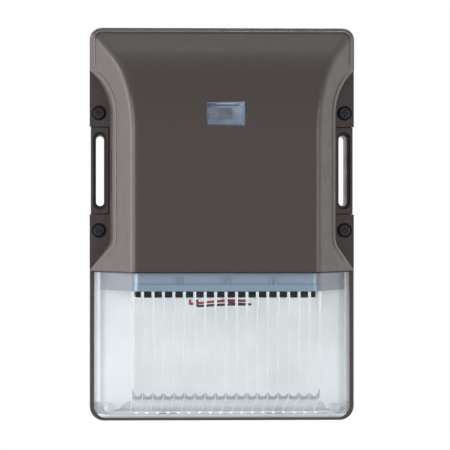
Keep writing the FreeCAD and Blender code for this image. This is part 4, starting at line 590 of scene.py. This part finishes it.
def smooth_line(places, steps):
    """Points of a smooth line through the given places."""
    line = []
    padded = [places[0], *places, places[-1]]
    for before, start, end, after in zip(padded, padded[1:], padded[2:], padded[3:]):
        for step in range(steps):
            t = step / steps
            line.append(tuple(0.5 * (2 * b + (c - a) * t + (2 * a - 5 * b + 4 * c - d) * t ** 2
                                     + (3 * b - a - 3 * c + d) * t ** 3)
                              for a, b, c, d in zip(before, start, end, after)))
    return line + [places[-1]]


def rectangle(low, high, grow):
    """A box's left, right, low and high in millimetres, grown all round."""
    return (low.x / MM - grow, high.x / MM + grow, low.z / MM - grow, high.z / MM + grow)


def corners(edges, depth):
    """Corners at a depth of a rectangle given as left, right, low, high."""
    left, right, low, high = edges
    return [(left, depth, low), (right, depth, low), (right, depth, high), (left, depth, high)]


# ----------------------------------------------------------------------- rolled edges
def rolled_edge(name, path, surface, material):
    """Low rounded bead laid on the hood along a path of (x, z), thinning out at both ends."""
    places = []
    for x, z in path:
        in_front = Vector((x * MM, RAY_START, z * MM))
        place, normal, _, _ = surface.ray_cast(in_front, Vector((0, 1, 0)))
        places.append((place, normal))
    points = []
    last = len(places) - 1
    for index, (place, normal) in enumerate(places):
        along = places[min(index + 1, last)][0] - places[max(index - 1, 0)][0]
        across = along.cross(normal).normalized()
        thin = min(1.0, index / EDGE_TAPER, (last - index) / EDGE_TAPER)
        for turn in half_turn(EDGE_STEPS):
            spot = (place + across * (math.cos(turn) * EDGE_HALF * thin * MM)
                    + normal * ((math.sin(turn) * EDGE_PROUD * thin - EDGE_SUNK) * MM))
            points.append((spot.x / MM, -spot.y / MM, spot.z / MM))
    faces = grid_faces(len(places), EDGE_STEPS + 1)
    add_piece(name, points, faces, material)


def rim_path():
    """Line just inside the hood's outline: up one side, over the top, down the other."""
    half, top = cad_high.x / MM - RIM_IN, cad_high.z / MM - RIM_IN
    middle_x, middle_z = -half + RIM_CORNER, top - RIM_CORNER
    up_side, round_corner, over_top = RIM_STEPS
    path = [(-half, z) for z in stops(RIM_LOW, middle_z, up_side)]
    path += [(middle_x - RIM_CORNER * math.cos(turn), middle_z + RIM_CORNER * math.sin(turn))
             for turn in stops(0, math.pi / 2, round_corner)]
    path += [(x, top) for x in stops(middle_x, 0, over_top)]
    return path + [(-x, z) for x, z in reversed(path)]


def pocket_path(side):
    """Line just inside a side pocket's edge, from its top end to its lower end."""
    arc, blend = POCKET_ARC + POCKET_IN, POCKET_BLEND + POCKET_IN
    fall = math.radians(POCKET_FALL)
    round_arc, down_wall, round_blend, down_foot = POCKET_STEPS
    path = [(POCKET_WALL + POCKET_ARC - arc * math.cos(turn), POCKET_TOP + arc * math.sin(turn))
            for turn in stops(math.radians(POCKET_TURN), 0, round_arc)]
    path += [(POCKET_WALL - POCKET_IN, z) for z in stops(POCKET_TOP, POCKET_LOW, down_wall)]
    path += [(POCKET_WALL + POCKET_BLEND - blend * math.cos(turn),
              POCKET_LOW - blend * math.sin(turn))
             for turn in stops(0, math.pi / 2 - fall, round_blend)]
    x, z = path[-1]
    path += [(x + out, z - out * math.tan(fall)) for out in stops(*POCKET_FOOT, down_foot)]
    return [(side * (x - DRAFT + (x - POCKET_WALL) * DRAFT_FALL), z) for x, z in path]


def add_hood_edges(material):
    """Soft rolled edges that catch the light along the hood's rim and its pockets."""
    hood = frame["nodes"]["front_housing"]
    surface = BVHTree.FromPolygons([hood.matrix_world @ v.co for v in hood.data.vertices],
                                   [tuple(face.vertices) for face in hood.data.polygons])
    rolled_edge("rim_edge", rim_path(), surface, material)
    for side, name in zip(SIDES, ("left", "right")):
        rolled_edge("pocket_edge_" + name, pocket_path(side), surface, material)


# ------------------------------------------------------------------ pieces in the lens
def floor_at(depth):
    """Height of the lens's inner floor at a depth."""
    return LENS_FLOOR - (LENS_INNER + LENS_WALL - depth) * FLOOR_SLOPE


def painted_flute_highlights(material):
    """Painted highlights in the valleys between the flutes: half-round white beads, wider at the
    top, in place of the light the flutes refract.
    """
    points, faces = [], []
    for x in in_row(FLUTES + 1, FLUTE_PITCH):
        start = len(points)
        for z, radius in LINE_SHAPE:
            for turn in half_turn(LINE_STEPS - 1):
                inward = LINE_CLEAR + LINE_FLAT * radius * math.sin(turn)
                points.append((x + radius * math.cos(turn), LENS_INNER - inward, z))
        faces += grid_faces(len(LINE_SHAPE), LINE_STEPS, start)
    add_piece("painted_flute_highlights", points, faces, material)


def foot_panels(material):
    """Frosted feet of the flutes: a scalloped lip up the front wall, then back on the floor."""
    points, faces = [], []
    middles = in_row(FLUTES, FLUTE_PITCH)
    for middle in middles:
        start = len(points)
        for share in ACROSS_FLUTE:
            x = middle + share * FOOT_HALF
            tall = CUSP_END_TALL if abs(x) > middles[-1] else CUSP_TALL
            points.append((x, LENS_INNER - FOOT_TOP_CLEAR,
                           LENS_FLOOR + FOOT_LIFT + tall * abs(share) ** CUSP_POWER))
        for depth in FOOT_DEPTHS:
            points += [(middle + share * FOOT_HALF, depth, floor_at(depth) + FOOT_LIFT)
                       for share in ACROSS_FLUTE]
        faces += grid_faces(len(FOOT_DEPTHS) + 1, FOOT_STEPS + 1, start)
    add_piece("foot_panels", points, faces, material)


def foot_crescents(material):
    """Grey crescent under each flute's foot, painted shade where the dark rim shows through: deep
    in the middle, narrow at the flute's edges.
    """
    points, faces = [], []
    for middle in in_row(FLUTES, FLUTE_PITCH):
        start = len(points)
        for row in range(CRESCENT_ROWS):
            for share in ACROSS_FLUTE:
                swell = math.cos(math.pi / 2 * share)
                reach = CRESCENT_EDGE + (CRESCENT_DEEP - CRESCENT_EDGE) * swell
                depth = LENS_INNER - CRESCENT_CLEAR - reach * row / (CRESCENT_ROWS - 1)
                points.append((middle + share * FOOT_HALF, depth,
                               floor_at(depth) + CRESCENT_LIFT))
        faces += grid_faces(CRESCENT_ROWS, FOOT_STEPS + 1, start)
    add_piece("foot_crescents", points, faces, material)


def corner_panels(material):
    """Grey floor beside the feet, a painted reflection of the dark rim, its outer edge in two
    soft waves.
    """
    points, faces = [], []
    inside = FLUTES * FLUTE_PITCH / 2 + FOOT_GAP
    edge = smooth_line(CORNER_EDGE, CORNER_EDGE_STEPS)
    for side in SIDES:
        start = len(points)
        for out, depth in edge:
            for step in range(CORNER_STEPS + 1):
                x = inside + (out - inside) * step / CORNER_STEPS
                points.append((side * x, depth, floor_at(depth) + CORNER_LIFT))
        faces += grid_faces(len(edge), CORNER_STEPS + 1, start)
    add_piece("corner_panels", points, faces, material)


def corner_leaves(material):
    """Grey leaf in each lower corner of the lens, where its floor meets its side: a painted
    reflection of the dark rim.
    """
    points, faces = [], []
    for side in SIDES:
        start = len(points)
        for step in range(LEAF_STEPS + 1):
            share = step / LEAF_STEPS
            x = LEAF_OUT + (LEAF_IN - LEAF_OUT) * share
            z = LEAF_HIGH + (LEAF_LOW - LEAF_HIGH) * share
            swell = math.sin(math.pi * share)
            points.append((side * (x - LEAF_SWELL * swell), FLOOR_BACK,
                           z + LEAF_SWELL_UP * swell))
            points.append((side * (x + LEAF_SWELL * swell), FLOOR_BACK + LEAF_LEAN,
                           z - LEAF_SWELL_DOWN * swell))
        faces += grid_faces(LEAF_STEPS + 1, 2, start)
    add_piece("corner_leaves", points, faces, material)


def painted_floor_glints(material):
    """Row of small bright domes under the lens floor, one to each flute: painted glints in place
    of the lens's highlights.
    """
    points, faces = [], []
    half_x, half_depth, tall = BEAD_HALF
    for middle in in_row(FLUTES, BEAD_PITCH):
        start = len(points)
        for lift, turn in dome_angles(BEAD_AROUND):
            wide = math.cos(lift) + DOME_TIP
            depth = BEAD_DEPTH + half_depth * wide * math.sin(turn)
            points.append((middle + BEAD_SHIFT + half_x * wide * math.cos(turn), depth,
                           floor_at(depth) - LENS_WALL - tall * math.sin(lift)))
        faces += ring_faces(DOME_RINGS, BEAD_AROUND, start)
    add_piece("painted_floor_glints", points, faces, material)


def post_caps(material):
    """Domed cap on each of the lens's two screw posts."""
    points, faces = [], []
    for side in SIDES:
        start = len(points)
        for lift, turn in dome_angles(POST_AROUND):
            wide = POST_CAP_RADIUS * math.cos(lift) + DOME_TIP
            points.append((side * POST_X + wide * math.cos(turn),
                           POST_DEPTH + POST_CAP_TALL * math.sin(lift),
                           POST_Z + wide * math.sin(turn)))
        faces += ring_faces(DOME_RINGS, POST_AROUND, start)
    add_piece("post_caps", points, faces, material)


def frame_lip(material):
    """White rounded lip along the lower front edge of the LED frame."""
    low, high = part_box("led_frame")
    points = []
    for x in (low.x / MM, high.x / MM):
        for turn in half_turn(LIP_STEPS - 1):
            swell = LIP_BULGE * math.sin(turn)
            points.append((x, -low.y / MM - LIP_THICK + swell * LIP_THICK,
                           low.z / MM - LIP_THICK * (1 - math.cos(turn)) / 2))
    add_piece("frame_lip", points, grid_faces(2, LIP_STEPS), material)


def add_lens_pieces():
    """Pieces in the lens that its plain walls leave out, several of them painted highlights,
    painted shade and painted reflections, and the frame's lip.
    """
    # painted reflection of the dark rim, for the lens's lower corners
    grey = frosted("lens_grey_reflection", (128, 134, 145), (150, 156, 167), 0.85)
    # painted highlights: white beads between the flutes
    painted_flute_highlights(sheet("painted_flute_highlight", (226, 230, 233), (234, 237, 240), 0.4))
    foot_panels(frosted_foot())
    # painted shade: dark grey crescents under the feet
    foot_crescents(frosted("painted_lens_shade", (72, 78, 90), (92, 98, 110), 0.94))
    corner_panels(grey)
    corner_leaves(grey)
    # painted glints: pure white domes under the lens floor
    painted_floor_glints(sheet("painted_lens_glint", (250, 251, 252), (255, 255, 255), 0.3))
    post_caps(frosted("post_cap", (200, 205, 212), (214, 218, 223), 0.7))
    frame_lip(sheet("frame_lip", (245, 246, 247), (252, 252, 252), 0.4))


# ------------------------------------------------------- tray behind the photocell window
def tray_material(low, high):
    """Pale plastic, paler towards the right: painted shading across the recess behind the window.
    """
    shade = Shade("window_tray").set(Roughness=0.5)
    across = shade.axis("X", low.x / MM, high.x / MM)
    # painted shading: darker at the left of the recess, paler at the right
    shade.colour(across, (188, 193, 205), (234, 242, 248), 0.3, 0.8)
    return shade.material


def add_window_tray():
    """Tray with a square hole for the sensor, a groove and three pegs in painted shade, and pale
    edges as painted highlights.
    """
    low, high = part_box("photocell_window")
    sensor_low, sensor_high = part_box("photocell_sensor")
    depth = -sensor_low.y / MM - TRAY_BEHIND
    outer = rectangle(low, high, -TRAY_IN)
    hole = rectangle(sensor_low, sensor_high, SENSOR_ROOM)
    points = (corners(outer, depth + TRAY_RIM) + corners(outer, depth)
              + corners(hole, depth) + corners(hole, depth - TRAY_HOLE_DEEP))
    faces = ring_faces(4, 4, closed=False)
    add_piece("window_tray", points, faces, tray_material(low, high),
              smooth=False)
    # painted shade in the groove and at the pegs, painted highlights along the edges
    add_tray_blocks("tray_painted_shade", TRAY_DARK, depth, (6, 8, 16), (14, 16, 24))
    add_tray_blocks("tray_painted_highlights", TRAY_PALE, depth, (222, 230, 236), (236, 242, 246))


def add_tray_blocks(name, rectangles, depth, low, high):
    """Low blocks on the tray, in two near tones; they carry its painted shade and its painted
    highlights.
    """
    points, faces = [], []
    for block in rectangles:
        faces += ring_faces(2, 4, len(points))
        points += corners(block, depth) + corners(block, depth + TRAY_BLOCK_TALL)
    add_piece(name, points, faces, plastic(name, low, high, 0.5), smooth=False)


# --------------------------------------------------------------------- camera and light
def turn_to(thing, direction):
    thing.rotation_mode = "QUATERNION"
    thing.rotation_quaternion = direction.to_track_quat("-Z", "Y")


def add_camera():
    """Camera in front of the light, a little to one side."""
    azimuth = math.radians(CAMERA_AZIMUTH)
    back = Vector((math.sin(azimuth), -math.cos(azimuth), 0))
    data = bpy.data.cameras.new("camera")
    data.lens = CAMERA_LENS
    data.clip_end = VIEW_END
    camera = add_object("camera", data)
    camera.location = CAMERA_AIM + back * CAMERA_DISTANCE
    turn_to(camera, -back)
    bpy.context.scene.camera = camera


def add_lamps():
    """Soft lamps beside the light, and one above it and behind."""
    for name, (place, across, up, watts) in LAMPS.items():
        data = bpy.data.lights.new(name, "AREA")
        data.shape = "RECTANGLE"
        data.size = across
        data.size_y = up
        data.energy = watts
        lamp = add_object(name, data)
        lamp.location = place
        turn_to(lamp, LAMP_AIM - Vector(place))


def add_world():
    """Soft grey room that looks white behind the light and in what it reflects."""
    world = bpy.data.worlds.new("room")
    bpy.context.scene.world = world
    world.use_nodes = True
    tree = world.node_tree
    tree.nodes.clear()
    output = tree.nodes.new("ShaderNodeOutputWorld")
    fill = tree.nodes.new("ShaderNodeBackground")
    fill.inputs["Color"].default_value = PALE
    fill.inputs["Strength"].default_value = ROOM_FILL
    white = tree.nodes.new("ShaderNodeBackground")
    white.inputs["Color"].default_value = WHITE
    mix = tree.nodes.new("ShaderNodeMixShader")
    tree.links.new(seen_rays(tree), mix.inputs["Fac"])
    tree.links.new(fill.outputs["Background"], mix.inputs[1])
    tree.links.new(white.outputs["Background"], mix.inputs[2])
    tree.links.new(mix.outputs["Shader"], output.inputs["Surface"])


def add_floor():
    """Plain pale floor, a little brighter where it is seen; the light's shadow falls on it."""
    low = cad_low.z - FLOOR_DROP
    half = FLOOR_SIZE / 2
    mesh = bpy.data.meshes.new("floor")
    ends = [(-half, -half, low), (half, -half, low), (half, half, low), (-half, half, low)]
    mesh.from_pydata(ends, [], [(0, 1, 2, 3)])
    shade = Shade("floor").set(Roughness=0.8, Emission_Color=WHITE)
    clouds = shade.ramp(shade.noise(FLOOR_CLOUDS), PALE_DIM, PALE)
    shade.link(clouds, shade.shader.inputs["Base Color"])
    glow = math_node(shade.tree, "MULTIPLY", seen_rays(shade.tree), FLOOR_GLOW)
    shade.link(glow, shade.shader.inputs["Emission Strength"])
    mesh.materials.append(shade.material)
    add_object("floor", mesh)


bpy.context.scene.view_settings.view_transform = "Standard"
add_camera()
materials = make_materials()
dress_nodes(materials)
add_hood_edges(materials["bronze_coat"])
add_lens_pieces()
add_window_tray()
add_lamps()
add_world()
add_floor()
